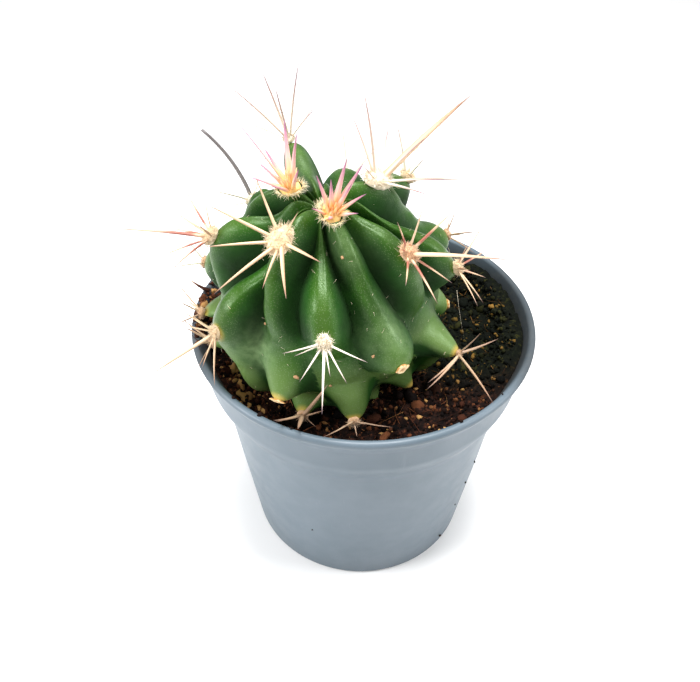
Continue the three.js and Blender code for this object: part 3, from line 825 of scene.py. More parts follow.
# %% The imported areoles' own random draws
SEED = 20413
BARE = (13, 16, 23)
SCRAMBLE = 0x6D2B79F5
WORD = 0xFFFFFFFF
STAR_SPINES = 7
STAR_LENGTH = 7.5
FAN_SPINES = 5
FAN_LENGTH = 5.2
FAN_START = -100
FAN_STEP = 50
CLOCK_JITTER = 14
LEAN_BY_RULE = 56
LEAN_JITTER = 10
CENTRAL_BY_RULE = {"lean": 22, "length": 10}


def repeatable(seed):
    """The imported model's random source, so that the spines set by rule fall where its spines do."""
    state = seed
    while True:
        state = (state + SCRAMBLE) & WORD
        mixed = ((state ^ (state >> 15)) * (state | 1)) & WORD
        mixed ^= (mixed + ((mixed ^ (mixed >> 7)) * (mixed | 61) & WORD)) & WORD
        yield ((mixed ^ (mixed >> 14)) & WORD) / (WORD + 1)


draw = repeatable(SEED)


def spines_by_rule(age):
    """A full star on a young areole, and an upper fan on an old one."""
    is_young = age < RIBS
    count, usual_length = (STAR_SPINES, STAR_LENGTH) if is_young else (FAN_SPINES, FAN_LENGTH)
    sweep = 360 / count if is_young else FAN_STEP
    first = 360 * next(draw) if is_young else FAN_START
    ring = []
    for n in range(count):
        clock = first + sweep * n + CLOCK_JITTER * (next(draw) - 0.5)
        lean = LEAN_BY_RULE + LEAN_JITTER * next(draw)
        ring.append((clock, lean, usual_length * (0.8 + 0.4 * next(draw))))
    return [*ring, (180 * next(draw) - 90, *CENTRAL_BY_RULE.values())] if is_young else ring


print("areoles that keep only a scab:", BARE)

# %% [markdown]
# ## Spines and wool
#
# One spine is a six-sided prism, drawn out along a line that bows a little, wide at the foot and
# fine at the tip. A barrel cactus has flattened spines, so the section is narrower one way. One
# dead spine is blunt and bends far sideways, and the amount of bow tells it from the rest. Wool
# is a cushion roughened by noise, with curled hairs standing out of it: they break the cushion's
# edge into fluff, which no bump could do.

# %% Spine and wool meshes
NEWEST = 2
SPINE_ROOT = 0.55
SPINE_FOOT = 0.2
SPINE_RING = 0.75
SPINE_FULLNESS = 1.7
CENTRAL_LENGTH = 11.7
SPINE_FLATNESS = 0.72
SIDEWAYS = 0.34
LEAST_WIDTH = 0.2
WIDTH_GAIN = 0.06
NEWEST_GIRTH = 1.9
USUAL_GIRTH = 0.72
SLENDER = {3: 0.7, 4: 0.55, 8: 0.57, 9: 0.8, 18: 0.85, 29: 0.85}
LEVEL_FROM = 80
LEVEL_TILT = 0.35
WOOL_COAT = 0
SPINE_COAT = 1
CENTRAL_COAT = 2
unit_spine = kept_taper("unit_spine", 6, 7, SPINE_COAT)
unit_central = kept_taper("unit_central", 6, 9, CENTRAL_COAT)
unit_hair = kept_taper("unit_hair", 3, 2, WOOL_COAT)
unit_felt = kept_ball("unit_felt", 3, WOOL_COAT)
unit_heart = kept_ball("unit_heart", 3, SPINE_COAT)
fluff = random.Random(7)


def areole_frame(age):
    place = station(age)
    root = skin_point(place["polar"], rib_of(age))
    polar = place["polar"]
    level = polar if polar < LEVEL_FROM else LEVEL_FROM + LEVEL_TILT * (polar - LEVEL_FROM)
    out = direction(level, place["azimuth"])
    up = (AXIS - out * AXIS.dot(out)).normalized()
    return {"age": age, "root": root, "out": out, "up": up, "right": up.cross(out)}


def spine_width(age, length):
    girth = NEWEST_GIRTH if age < NEWEST else SLENDER.get(age, USUAL_GIRTH)
    return (LEAST_WIDTH + WIDTH_GAIN * length) * girth


def add_spine(bm, marks, frame_, clock, lean, length, bow=0.02, width=None, ripe=1.0):
    turn = math.radians(clock)
    across = frame_["up"] * math.cos(turn) + frame_["right"] * math.sin(turn)
    along = frame_["out"] * math.cos(math.radians(lean)) + across * math.sin(math.radians(lean))
    outward = (frame_["out"] - along * frame_["out"].dot(along)).normalized()
    tip = frame_["root"] + frame_["out"] * SPINE_ROOT + along * length
    off_middle = SPINE_RING * pad_size(frame_["age"]) * math.sin(math.radians(lean))
    start = frame_["root"] + frame_["out"] * SPINE_FOOT + across * off_middle
    length = (tip - start).length
    along = (tip - start).normalized()
    third = outward.cross(along)
    radius = (width or spine_width(frame_["age"], length)) / 2
    tone = fluff.random()
    blunt = bow > 0.1
    bent = third * SIDEWAYS if blunt else outward
    fullness = 1.0 if frame_["age"] < NEWEST else SPINE_FULLNESS
    for vertex in add_copy(bm, unit_central if length > CENTRAL_LENGTH else unit_spine):
        x, y, share = vertex.co
        pointed = 0.9 * (1 - share**fullness) ** 0.85 + 0.06
        taper = radius * (0.9 - 0.3 * share if blunt else pointed)
        spot = outward * (x * SPINE_FLATNESS * taper) + third * (y * taper)
        arch = 4 * bow * length * share * (1 - share)
        vertex.co = start + along * (length * share) + bent * arch + spot
        vertex[marks["along"]] = share * ripe
        vertex[marks["tone"]] = tone
        vertex[marks["side"]] = 0.5 + 0.5 * y * ripe


def add_hair(bm, marks, start, heading, length, width, curl, tone):
    """One hair that leaves start along heading and bends by curl, a vector, at its tip."""
    side = heading.orthogonal().normalized()
    other = heading.cross(side)
    for vertex in add_copy(bm, unit_hair):
        x, y, share = vertex.co
        thin = width / 2 * (1 - 0.75 * share)
        vertex.co = start + heading * (length * share) + curl * share**2 + (side * x + other * y) * thin
        vertex[marks["along"]] = share
        vertex[marks["tone"]] = tone


def random_direction():
    return Vector([fluff.gauss(0, 1) for _ in range(3)]).normalized()


def new_marks(bm, names=("along", "tone", "side")):
    return {name: bm.verts.layers.float.new(name) for name in names}


print("faces in one spine:", len(unit_spine.polygons), "and in one hair:", len(unit_hair.polygons))

# %% [markdown]
# The felt is thick and pale on young areoles, and worn thin on old ones. Its hairs leave it at all
# angles, most of them outwards, and every one is curled.

# %% Wool on an areole
PAD_HALF_LENGTH = 1.75
PAD_HALF_WIDTH = 1.35
PAD_HEIGHT = 0.95
YOUNG_PAD = 1.25
PAD_SHRINK = 0.05
LEAST_PAD = 0.7
PAD_SCALE = {2: 1.1, 3: 1.18, 4: 0.6, 5: 0.88, 8: 0.88, 18: 0.7}
HAIRS_ON_YOUNG = 760
HAIRS_ON_OLD = 150
HAIR_LENGTH = 0.58
HAIR_WIDTH = 0.085
STUBS = 28
STUB_WIDTH = 0.85
FELT_SHARE = 0.88
HEART_SHARE = 0.68
FELT_TONE = 0.35
FELT_COLOUR_MARK = 0.05


def pad_size(age):
    return max(LEAST_PAD, YOUNG_PAD - PAD_SHRINK * age) * PAD_SCALE.get(age, 1)


def on_pad(frame_, toward, size):
    """A point on the cushion in the direction toward, given in right, out and up."""
    return (
        frame_["root"]
        + frame_["right"] * (toward.x * PAD_HALF_WIDTH * size)
        + frame_["out"] * (toward.y * PAD_HEIGHT * size)
        + frame_["up"] * (toward.z * PAD_HALF_LENGTH * size)
    )


def add_felt(bm, marks, frame_, size, ball):
    for vertex in add_copy(bm, ball):
        lump = 1 + 0.16 * noise.noise(vertex.co * 2.5 + frame_["root"])
        lump += 0.1 * noise.noise(vertex.co * 7)
        vertex.co = on_pad(frame_, vertex.co * lump, size)
        vertex[marks["tone"]] = FELT_TONE
        vertex[marks["along"]] = FELT_COLOUR_MARK


def add_pad_hair(bm, marks, frame_, start, stray, longest, spread, widest, least_tone):
    """One curled hair that leaves the cushion at start, outwards but for a share of stray."""
    heading = ((start - frame_["root"]).normalized() + random_direction() * stray).normalized()
    length = longest * (0.4 + spread * fluff.random())
    curl = random_direction() * length * 0.7
    width = HAIR_WIDTH * fluff.uniform(0.6, widest)
    tone = least_tone + (1 - least_tone) * fluff.random()
    add_hair(bm, marks, start, heading, length, width, curl, tone)


def add_wool(bm, marks, frame_):
    """A felt cushion with hairs all over it."""
    size = pad_size(frame_["age"])
    add_felt(bm, marks, frame_, size * FELT_SHARE, unit_felt)
    for _ in range(HAIRS_ON_YOUNG if frame_["age"] < RIBS else HAIRS_ON_OLD):
        toward = random_direction()
        toward.y = abs(toward.y) * 0.9 + 0.05
        start = on_pad(frame_, toward * 0.8, size)
        add_pad_hair(bm, marks, frame_, start, 0.9, HAIR_LENGTH * size, 0.7, 1.2, 0.0)


def add_young_heart(bm, marks, frame_):
    """The newest areoles: spines still fused at their feet, and wool only as a fringe below them."""
    size = pad_size(frame_["age"])
    add_felt(bm, marks, frame_, size * HEART_SHARE, unit_heart)
    for _ in range(STUBS):
        clock, lean = fluff.uniform(0, 360), fluff.uniform(5, 76)
        add_spine(bm, marks, frame_, clock, lean, fluff.uniform(1.0, 2.5), width=STUB_WIDTH, ripe=0.3)
    for _ in range(HAIRS_ON_YOUNG // 2):
        angle = fluff.uniform(0, math.tau)
        toward = Vector((math.cos(angle), fluff.uniform(0.0, 0.35), math.sin(angle)))
        start = on_pad(frame_, toward * 0.82, size)
        add_pad_hair(bm, marks, frame_, start, 0.8, HAIR_LENGTH, 0.8, 1.1, 0.4)


print("pad sizes:", [round(pad_size(age), 2) for age in (0, 3, 8, 18, 30)])

# %% [markdown]
# ## Finishes for spines and wool
#
# Spines change colour along their length, so the finish reads the mark that runs from 0 at the
# foot to 1 at the tip. The newest are amber below and rose above. Those of the next years are
# cream, tan on one side, some with a red band. The oldest have weathered to dull brown.

# %% Spine finishes
RED_BAND = (146, 62, 50)
SPINE_COLOURS = {
    "fresh": {
        "stops": [
            (0.0, (250, 204, 120)), (0.2, (246, 198, 138)), (0.45, (236, 186, 172)),
            (0.8, (186, 124, 146)), (1.0, (112, 64, 98)),
        ],
        "flank": (196, 124, 146),
        "flank_share": 0.5,
    },
    "cream": {
        "stops": [
            (0.0, (228, 206, 170)), (0.5, (218, 192, 154)), (0.8, (194, 158, 128)),
            (1.0, (118, 82, 72)),
        ],
        "flank": (158, 118, 90),
        "flank_share": 0.65,
    },
    "peach": {
        "stops": [
            (0.0, (230, 200, 164)), (0.6, (218, 184, 150)), (0.85, (176, 138, 112)),
            (1.0, (110, 80, 72)),
        ],
        "flank": (132, 90, 64),
        "flank_share": 0.95,
    },
    "red_banded": {
        "stops": [
            (0.0, (222, 196, 164)), (0.4, (224, 196, 160)), (0.75, (206, 170, 138)),
            (1.0, (104, 76, 78)),
        ],
        "flank": (190, 146, 128),
        "flank_share": 0.5,
        "red_share": 0.85,
    },
    "pale_tipped": {
        "stops": [
            (0.0, (240, 230, 212)), (0.35, (224, 206, 186)), (0.75, (160, 128, 128)),
            (1.0, (110, 80, 94)),
        ],
        "flank": (196, 168, 150),
        "flank_share": 0.5,
    },
    "white": {
        "stops": [
            (0.0, (240, 232, 214)), (0.6, (236, 226, 208)), (0.85, (196, 176, 168)),
            (1.0, (122, 96, 108)),
        ],
        "flank": (226, 214, 200),
        "flank_share": 0.35,
    },
    "old": {
        "stops": [
            (0.0, (204, 178, 148)), (0.45, (186, 154, 124)), (0.8, (160, 126, 104)),
            (1.0, (100, 76, 68)),
        ],
        "flank": (148, 116, 96),
        "flank_share": 0.65,
    },
    "dark": {
        "stops": [(0.0, (128, 122, 120)), (0.5, (112, 106, 104)), (1.0, (96, 90, 90))],
        "flank": (84, 78, 78),
        "flank_share": 0.6,
    },
}


def spine_finish(name, stops, flank, flank_share, red_share=0.0):
    finish, tree, shader = new_finish(name + "_spines")
    streaks = cloud(tree, in_millimetres(tree), 0.9)
    along = attribute(tree, "along")
    wandering = calculate(tree, "MULTIPLY_ADD", calculate(tree, "SUBTRACT", streaks, 0.5), 0.3)
    plug(tree, wandering.node.inputs[2], along)
    base = ramp(tree, wandering, stops)
    side = ranged(tree, attribute(tree, "side"), 0.45, 0.95, 0.0, flank_share)
    flanked = mix(tree, side, base, colour(*flank))
    band_start = ranged(tree, along, 0.1, 0.22)
    band = calculate(tree, "MULTIPLY", band_start, ranged(tree, along, 0.38, 0.62, 1.0, 0.0))
    chosen = ranged(tree, attribute(tree, "tone"), 0.25, 0.6, 0.0, red_share)
    reddened = mix(tree, calculate(tree, "MULTIPLY", band, chosen), flanked, colour(*RED_BAND))
    plug(tree, shader.inputs["Base Color"], reddened)
    shader.inputs["Roughness"].default_value = 0.45
    bump(tree, shader, streaks, 0.03, 0.4)
    return finish


spine_coats = {name: spine_finish(name, **shades) for name, shades in SPINE_COLOURS.items()}
print("spine finishes:", list(spine_coats))

# %% Wool finishes
WOOL_COLOURS = {
    "young": [(218, 196, 134), (244, 228, 178), (252, 242, 214)],
    "cream": [(196, 164, 122), (228, 204, 166), (244, 228, 200)],
    "white": [(212, 192, 160), (240, 226, 200), (252, 244, 228)],
    "tan": [(168, 112, 80), (220, 176, 134), (242, 214, 180)],
    "old": [(140, 106, 76), (194, 156, 118), (224, 194, 156)],
}
WOOL_STOPS = (0.15, 0.5, 0.9)


def wool_finish(name, colours):
    finish, tree, shader = new_finish(name + "_wool")
    tufts = cloud(tree, in_millimetres(tree), 0.5)
    own_tone = calculate(tree, "MULTIPLY", attribute(tree, "tone"), 0.6)
    shade = calculate(tree, "ADD", own_tone, calculate(tree, "MULTIPLY", tufts, 0.5))
    shades = ramp(tree, shade, list(zip(WOOL_STOPS, colours)))
    plug(tree, shader.inputs["Base Color"], shades)
    shader.inputs["Roughness"].default_value = 0.9
    shader.inputs["Sheen Weight"].default_value = 0.35
    bump(tree, shader, cloud(tree, in_millimetres(tree), 0.12), 0.08, 0.7)
    return finish


wool_coats = {name: wool_finish(name, colours) for name, colours in WOOL_COLOURS.items()}
print("wool finishes:", list(wool_coats))

# %% [markdown]
# ## All the areoles
#
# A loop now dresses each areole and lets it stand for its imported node. Which finish it gets
# depends on its age, with a few exceptions that the plant itself shows.

# %% Dress the areoles
SPINE_KINDS = {
    "fresh": (0, 1),
    "red_banded": (5, 6, 10),
    "pale_tipped": (2, 4),
    "white": (7, 8, 9, 12, 14, 17, 20),
}
WOOL_KINDS = {"young": (0, 1), "white": (2, 4, 8, 9), "tan": (5,)}
CENTRAL_SPINES = {2: "peach", 9: "dark"}


def kind_of(age, kinds):
    """The kind that names this age, or else cream on the young areoles and old on the others."""
    named = [kind for kind, ages in kinds.items() if age in ages]
    return named[0] if named else "cream" if age < RIBS else "old"


def coats_of(age):
    """The finishes of an areole's wool, its spines, and its long central spine."""
    kind = kind_of(age, SPINE_KINDS)
    central = CENTRAL_SPINES.get(age, kind)
    return [wool_coats[kind_of(age, WOOL_KINDS)], spine_coats[kind], spine_coats[central]]


def slot_of(age):
    return "fresh_spines" if age < NEWEST else "cream_spines" if age < RIBS else "old_spines"


def dress_areole(age):
    bm = bmesh.new()
    marks = new_marks(bm)
    frame_ = areole_frame(age)
    spines = SPINES.get(age) or spines_by_rule(age)
    if age < NEWEST:
        add_young_heart(bm, marks, frame_)
    else:
        add_wool(bm, marks, frame_)
    for spine in spines:
        add_spine(bm, marks, frame_, *spine)
    name = f"areole_{age:02d}"
    return finish_piece(bm, f"spines_{age:02d}", coats_of(age), slot_of(age), name)


spined_ages = [int(name.split("_")[1]) for name in sorted(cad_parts) if name.startswith("areole_")]
spined_ages = [age for age in spined_ages if age not in BARE]
areoles = [dress_areole(age) for age in spined_ages]
print("areoles dressed:", len(areoles), "with", sum(len(a.data.polygons) for a in areoles), "faces")

# %% [markdown]
# ## Scabs
#
# Three old areoles have dropped their spines. What is left is a hard beige plate with a darker
# rim, a little sunk in the middle. A flattened ball with its top pressed in gives that, and noise
# makes its outline ragged.

# %% Scab finish and scabs
SCABS = {13: (1.15, 0.8, 0.3), 16: (1.3, 0.32, 0.2), 23: (0.9, 0.8, 0.4)}
SCAB_SHADES = [
    (0.0, (150, 104, 70)), (0.35, (206, 168, 122)), (0.75, (240, 216, 170)), (1.0, (180, 128, 66)),
]
SCAB_DIMPLE = 0.55
SCAB_ROUNDNESS = 0.35

scab_finish, tree, shader = new_finish("dry_scab")
from_middle = attribute(tree, "along")
flakes = cloud(tree, in_millimetres(tree), 0.4)
flaking = calculate(tree, "ADD", from_middle, ranged(tree, flakes, 0.0, 1.0, -0.25, 0.25))
dry = ramp(tree, flaking, SCAB_SHADES)
plug(tree, shader.inputs["Base Color"], dry)
shader.inputs["Roughness"].default_value = 0.8
bump(tree, shader, flakes, 0.08, 0.7)


def dress_scab(age):
    half_width, half_height, thickness = SCABS[age]
    frame_ = areole_frame(age)
    bm = bmesh.new()
    marks = new_marks(bm)
    for vertex in add_copy(bm, unit_felt):
        x, y, z = vertex.co
        across = min(1.0, math.hypot(x, z))
        ragged = 1 + 0.3 * noise.noise(Vector((x, z, age)) * 1.7) + 0.12 * noise.noise(vertex.co * 5)
        corners = (abs(x) + abs(z)) / max(across, 0.2)
        diamond = 1 / (SCAB_ROUNDNESS + (1 - SCAB_ROUNDNESS) * corners)
        sunk = -SCAB_DIMPLE * (1 - smooth(across, 0.2, 0.75)) if y > 0 else 0
        place = Vector((x * half_width, (y + sunk) * thickness, z * half_height))
        place.x *= ragged * diamond
        place.z *= ragged * diamond
        sideways = frame_["right"] * place.x + frame_["up"] * place.z
        vertex.co = frame_["root"] + sideways + frame_["out"] * place.y
        vertex[marks["along"]] = across
    return finish_piece(bm, f"scab_{age:02d}", [scab_finish], "old_spines", f"areole_{age:02d}")


scabs = [dress_scab(age) for age in SCABS]
print("scabs:", [scab.name for scab in scabs])

# %% [markdown]
# Here and there the skin itself carries a dry corky speck, less than a millimetre across.

# %% Specks on the skin
SPECKS = {
    (87.2, 11.25): 0.42, (74.5, 12.7): 0.24, (94.7, 11.75): 0.22, (28.7, 12.8): 0.22, (66, 10.6): 0.2,
}
SPECK_THICKNESS = 0.12
SPECK_HEIGHT = 0.1
SPECK_SHADE = 0.15
SPECK_LUMPS = 1.6
SPECK_RAGGEDNESS = 0.4

bm = bmesh.new()
marks = new_marks(bm)
for (polar, turn), size in SPECKS.items():
    middle = skin_point(polar, turn)
    out = direction(polar, skin_at(polar, turn)["azimuth"])
    side = out.orthogonal().normalized()
    other = out.cross(side)
    for vertex in add_copy(bm, unit_felt):
        x, y, z = vertex.co * (1 + SPECK_RAGGEDNESS * noise.noise(vertex.co * SPECK_LUMPS + middle))
        vertex.co = middle + (side * x + other * y) * size + out * (SPECK_HEIGHT + z * SPECK_THICKNESS)
        vertex[marks["along"]] = SPECK_SHADE
finish_piece(bm, "skin_specks", [scab_finish], "old_spines")
print("specks:", len(SPECKS))

# %% [markdown]
# ## Felt at the apex and stray hairs
#
# The growing point is hidden by a pinch of short felt. Loose hairs from it have been caught all
# over the skin. They are hardly thicker than dust, but they are what makes the skin look real. One
# spider's thread runs from the plant down to the soil.

# %% Apex felt and stray hairs
APEX_HAIRS = 260
APEX_FELT = (0.55, 0.5, 0.15)
STRAY_HAIRS = 230
STRAY_LENGTH = 0.8
STRAY_WIDTH = 0.045
STRAY_LIFT = 0.14
THREAD = (Vector((14.7, 0.8, 50.0)), Vector((16.2, -1.7, 41.6)))
THREAD_SAG = Vector((0.4, 0, 0))
THREAD_WIDTH = 0.05
TUFT_SPREAD = (2.2, 0.1)
TUFT_LENGTH = 0.9
STRAY_TUFTS = {
    "beside_5": (36, 5.6, 26),
    "above_5": (30, 4.9, 12),
    "below_3": (40, 4.1, 14),
    "left_8": (72, 4.4, 10),
}

bm = bmesh.new()
marks = new_marks(bm)
apex = skin_point(0.5, 0)
felt_width, felt_depth, felt_root = APEX_FELT
for _ in range(APEX_HAIRS):
    start = apex + SIDE * fluff.gauss(0, felt_width) + BACK * fluff.gauss(0, felt_depth)
    start -= AXIS * felt_root
    heading = (AXIS + random_direction() * 0.8).normalized()
    length = 0.5 + 0.6 * fluff.random()
    add_hair(bm, marks, start, heading, length, HAIR_WIDTH, random_direction() * 0.3, fluff.random())
finish_piece(bm, "apex_felt", [wool_coats["young"]], "cream_spines")


def add_stray(bm, marks, polar, turn, longest):
    point = skin_point(polar, turn)
    out = direction(polar, skin_at(polar, turn)["azimuth"])
    flat = out.cross(random_direction()).normalized()
    length = longest * (0.4 + 0.6 * fluff.random())
    curl = (out.cross(flat) * fluff.uniform(-0.5, 0.5) + out * 0.1) * length
    tone = 0.6 + 0.4 * fluff.random()
    add_hair(bm, marks, point + out * STRAY_LIFT, flat, length, STRAY_WIDTH, curl, tone)


bm = bmesh.new()
marks = new_marks(bm)
for _ in range(STRAY_HAIRS):
    polar = math.degrees(math.acos(fluff.uniform(-0.3, 0.97)))
    add_stray(bm, marks, polar, fluff.uniform(0, RIBS), STRAY_LENGTH)
along_rib, across_rib = TUFT_SPREAD
for polar, turn, count in STRAY_TUFTS.values():
    for _ in range(count):
        place = polar + fluff.gauss(0, along_rib), turn + fluff.gauss(0, across_rib)
        add_stray(bm, marks, *place, TUFT_LENGTH)
thread_start, thread_end = THREAD
down = thread_end - thread_start
add_hair(bm, marks, thread_start, down.normalized(), down.length, THREAD_WIDTH, THREAD_SAG, 1.0)
finish_piece(bm, "stray_hairs", [wool_coats["cream"]], "cream_spines")
print("hairs on the skin:", STRAY_HAIRS + sum(tuft[2] for tuft in STRAY_TUFTS.values()))

# %% [markdown]
# ## The pot
#
# The pot is one thin moulded wall. Its profile is a line of corners with arcs for the foot and the
# rolled bead and an S for the soft step under the collar, and a spin round Z turns it into the
# whole pot. The drain holes are cut by a Boolean with one mesh that holds all eight drills.

# %% The pot's profile
POT_HEIGHT = 45.8
RIM_RADIUS = 27.5
COLLAR_RADIUS = 26.0
COLLAR_TOP = 42.2
COLLAR_FOOT = 36.8
SHOULDER_RADIUS = 23.9
SHOULDER_HEIGHT = 34.2
BASE_RADIUS = 20.3
WALL = 1.0
POT_FLOOR = 1.2
FOOT_ROUND = 0.8
BEAD_ROUND = 0.62
SOFT_STEP = (32.6, 38.8)
STEP_CORNERS = 14
POT_STEPS = 192


def arc(radius, height, rounding, start, end, steps):
    angles = [math.radians(lerp(start, end, step / steps)) for step in range(steps + 1)]
    return [(radius + rounding * math.cos(a), height + rounding * math.sin(a)) for a in angles]


def soft_step():
    """The step under the collar, as an S from the wall's slope to the collar."""
    low, high = SOFT_STEP
    corners = []
    for corner in range(STEP_CORNERS + 1):
        height = lerp(low, high, corner / STEP_CORNERS)
        wall = min(lerp(BASE_RADIUS, SHOULDER_RADIUS, height / SHOULDER_HEIGHT), SHOULDER_RADIUS)
        corners.append((lerp(wall, COLLAR_RADIUS, smooth(height, low, high)), height))
    return corners


inner = COLLAR_RADIUS - WALL
pot_corners = [
    (0, 0),
    *arc(BASE_RADIUS - FOOT_ROUND, FOOT_ROUND, FOOT_ROUND, -90, 0, 5),
    (lerp(BASE_RADIUS, SHOULDER_RADIUS, 0.5), SHOULDER_HEIGHT / 2),
    *soft_step(),
    *arc(COLLAR_RADIUS - 0.6, COLLAR_TOP, 0.6, -20, 0, 2),
    *arc(RIM_RADIUS - BEAD_ROUND, POT_HEIGHT - BEAD_ROUND, BEAD_ROUND, -45, 180, 12),
    (inner, COLLAR_TOP),
    (inner, COLLAR_FOOT + WALL),
    (SHOULDER_RADIUS - WALL, SHOULDER_HEIGHT),
    (BASE_RADIUS - WALL, POT_FLOOR),
    (0, POT_FLOOR),
]
print("corners in the pot's profile:", len(pot_corners))

# %% [markdown]
# The grey-blue plastic is satin, a little cloudy from handling, with dust in fine scratches. Inside,
# above the soil, it is painted dark brown and made dull: partly a stain left by old water, partly
# painted shade where the wall is shadowed. The lip is painted a little darker at its two sides, dirt
# and painted shade together. A dull wall mirrors little, so it gets a finish of its own.

# %% Pot finish
PLASTIC = ((87, 101, 111), (93, 106, 116))
DUST = (144, 150, 156)
DIRT = (90, 86, 84)
LIME_AND_SHADE = ((22, 17, 12), (44, 38, 30))


def plastic_finish(name, shine):
    finish, tree, shader = new_finish(name)
    mm = in_millimetres(tree)
    patches = ranged(tree, cloud(tree, mm, 14.0), 0.35, 0.65)
    clouded = mix(tree, patches, *[colour(*grey) for grey in PLASTIC])
    scratches = cloud(tree, in_millimetres(tree, (1.0, 1.0, 0.12)), 0.5, 4.0)
    dusty = mix(tree, ranged(tree, scratches, 0.6, 0.8, 0.0, 0.12), clouded, colour(*DUST))
    dirt = ranged(tree, spots(tree, mm, 1.9), 0.0, 0.1, 0.5, 0.0)
    dirty_places = ranged(tree, cloud(tree, mm, 5.0), 0.5, 0.62)
    marked = mix(tree, calculate(tree, "MULTIPLY", dirt, dirty_places), dusty, colour(*DIRT))
    blotches = ranged(tree, cloud(tree, mm, 1.5), 0.4, 0.7)
    # The inner wall above the soil is painted near-black brown: a water stain and painted shade
    # together.
    lime_and_shade = mix(tree, blotches, *[colour(*brown) for brown in LIME_AND_SHADE])
    plug(tree, shader.inputs["Base Color"], mix(tree, attribute(tree, "stain_and_shade"), marked, lime_and_shade))
    satin = ranged(tree, cloud(tree, mm, 3.0), 0.3, 0.7, 0.4, 0.47)
    dull = calculate(tree, "MULTIPLY", attribute(tree, "stain_and_shade"), 0.5)
    plug(tree, shader.inputs["Roughness"], calculate(tree, "ADD", satin, dull))
    shader.inputs["Specular IOR Level"].default_value = shine
    bump(tree, shader, scratches, 0.02, 0.15)
    return finish


pot_finish = plastic_finish("nursery_pot_plastic", 0.45)
wall_finish = plastic_finish("stained_shaded_wall", 0.12)
print("pot finishes:", pot_finish.name, wall_finish.name)

# %% The pot's mesh and its drain holes
DRAIN_HOLES = 8
DRAIN_RADIUS = 1.7
DRAIN_RING = 13.2
LIP_DIRT_AND_SHADE = 0.6

pot_coats = [pot_finish, wall_finish]
pot = finish_piece(turned_profile(pot_corners, POT_STEPS), "nursery_pot", pot_coats, "pot", "pot")
drills_bm = bmesh.new()
for hole in range(DRAIN_HOLES):
    angle = math.tau * (hole + 0.5) / DRAIN_HOLES
    place = Vector((DRAIN_RING * math.cos(angle) * MM, DRAIN_RING * math.sin(angle) * MM, 0))
    bmesh.ops.create_cone(
        drills_bm,
        cap_ends=True,
        segments=28,
        radius1=DRAIN_RADIUS * MM,
        radius2=DRAIN_RADIUS * MM,
        depth=4 * POT_FLOOR * MM,
        matrix=Matrix.Translation(place),
    )
drills_mesh = bpy.data.meshes.new("drills")
drills_bm.to_mesh(drills_mesh)
drills_bm.free()
drills = bpy.data.objects.new("drills", drills_mesh)
scene.collection.objects.link(drills)
cut = pot.modifiers.new("drain_holes", "BOOLEAN")
cut.object = drills
cut.operation = "DIFFERENCE"
cut.solver = "EXACT"
drilled = bpy.data.meshes.new_from_object(pot.evaluated_get(bpy.context.evaluated_depsgraph_get()))
pot.modifiers.clear()
pot.data = drilled
bpy.data.objects.remove(drills)


def stain_and_shade_at(place):
    """How much painted stain and shade: 1 on the inner wall below the lip, a little on the lip at the
    sides, 0 outside.
    """
    radius, height = math.hypot(place.x, place.y) / MM, place.z / MM
    if height < COLLAR_FOOT:
        return 0.0
    on_lip = height > COLLAR_TOP + 0.5
    wall_middle = RIM_RADIUS - 2 * BEAD_ROUND + 0.1 if on_lip else inner + 0.5
    # The lip's two sides are painted a little darker: dirt and painted shade together.
    lip_dirt_and_shade = LIP_DIRT_AND_SHADE * smooth(abs(place.x) / MM, 19, 25) if POT_HEIGHT - height < 1.1 else 0.0
    return max(smooth(POT_HEIGHT - height, 0.5, 0.9), lip_dirt_and_shade) if radius < wall_middle else lip_dirt_and_shade


stains_and_shade = [stain_and_shade_at(vertex.co) for vertex in pot.data.vertices]
stain_and_shade = pot.data.attributes.new("stain_and_shade", "FLOAT", "POINT")
stain_and_shade.data.foreach_set("value", stains_and_shade)
for face in pot.data.polygons:
    face.material_index = int(min(stains_and_shade[corner] for corner in face.vertices) > LIP_DIRT_AND_SHADE + 0.1)
print("pot faces:", len(pot.data.polygons))

# %% [markdown]
# ## The soil
#
# Dry peat is a mass of crumbs, with fibres of moss and rust-brown bits of root. A spun disc with
# noise on it gives the uneven ground. It drops away under the plant, where the packed soil has a
# hole, and rises in a bank against the wall at the right. Crumbs and fibres are then strewn on it.

# %% The soil's surface
SOIL_TOP = 41.4
SOIL_GAP = 0.25
SOIL_STEPS = 216
SOIL_RINGS = 74
UNDER_PLANT = 9.0
BANK_HEIGHT = 3.0
BANK_REACH = 0.95
BANK_STARTS = {"out": (18, 24), "x": (13, 21), "y": (-17, -5)}
GROUND_DROP = 0.4
GROUND_WAVES = {"slow": (0.6, 6.0), "lumps": (0.9, 2.0), "grit": (0.45, 0.8)}


def outline_table(height, samples=RIBS * 8):
    """The stem's outline at a height, as (angle, distance) from the body's axis."""
    table = []
    for sample in range(samples):
        turn = RIBS * sample / samples
        above, below = 70.0, 150.0
        for _ in range(24):
            middle = (above + below) / 2
            if skin_point(middle, turn).z > height:
                above = middle
            else:
                below = middle
        point = skin_point(above, turn) - BODY_CENTRE
        table.append((math.atan2(point.y, point.x), math.hypot(point.x, point.y)))
    return np.array(sorted(table))


OUTLINE = outline_table(SOIL_TOP + 0.3)


def past_stem(x, y):
    """How far a point of the soil lies outside the stem, in millimetres."""
    dx, dy = x - BODY_CENTRE.x, y - BODY_CENTRE.y
    edge = np.interp(math.atan2(dy, dx), OUTLINE[:, 0], OUTLINE[:, 1], period=math.tau)
    return math.hypot(dx, dy) - edge


def bank_share(x, y):
    """1 where the soil is banked up against the wall, 0 where it is level."""
    places = {"out": math.hypot(x, y), "x": x, "y": y}
    return math.prod(smooth(places[way], *ends) for way, ends in BANK_STARTS.items())


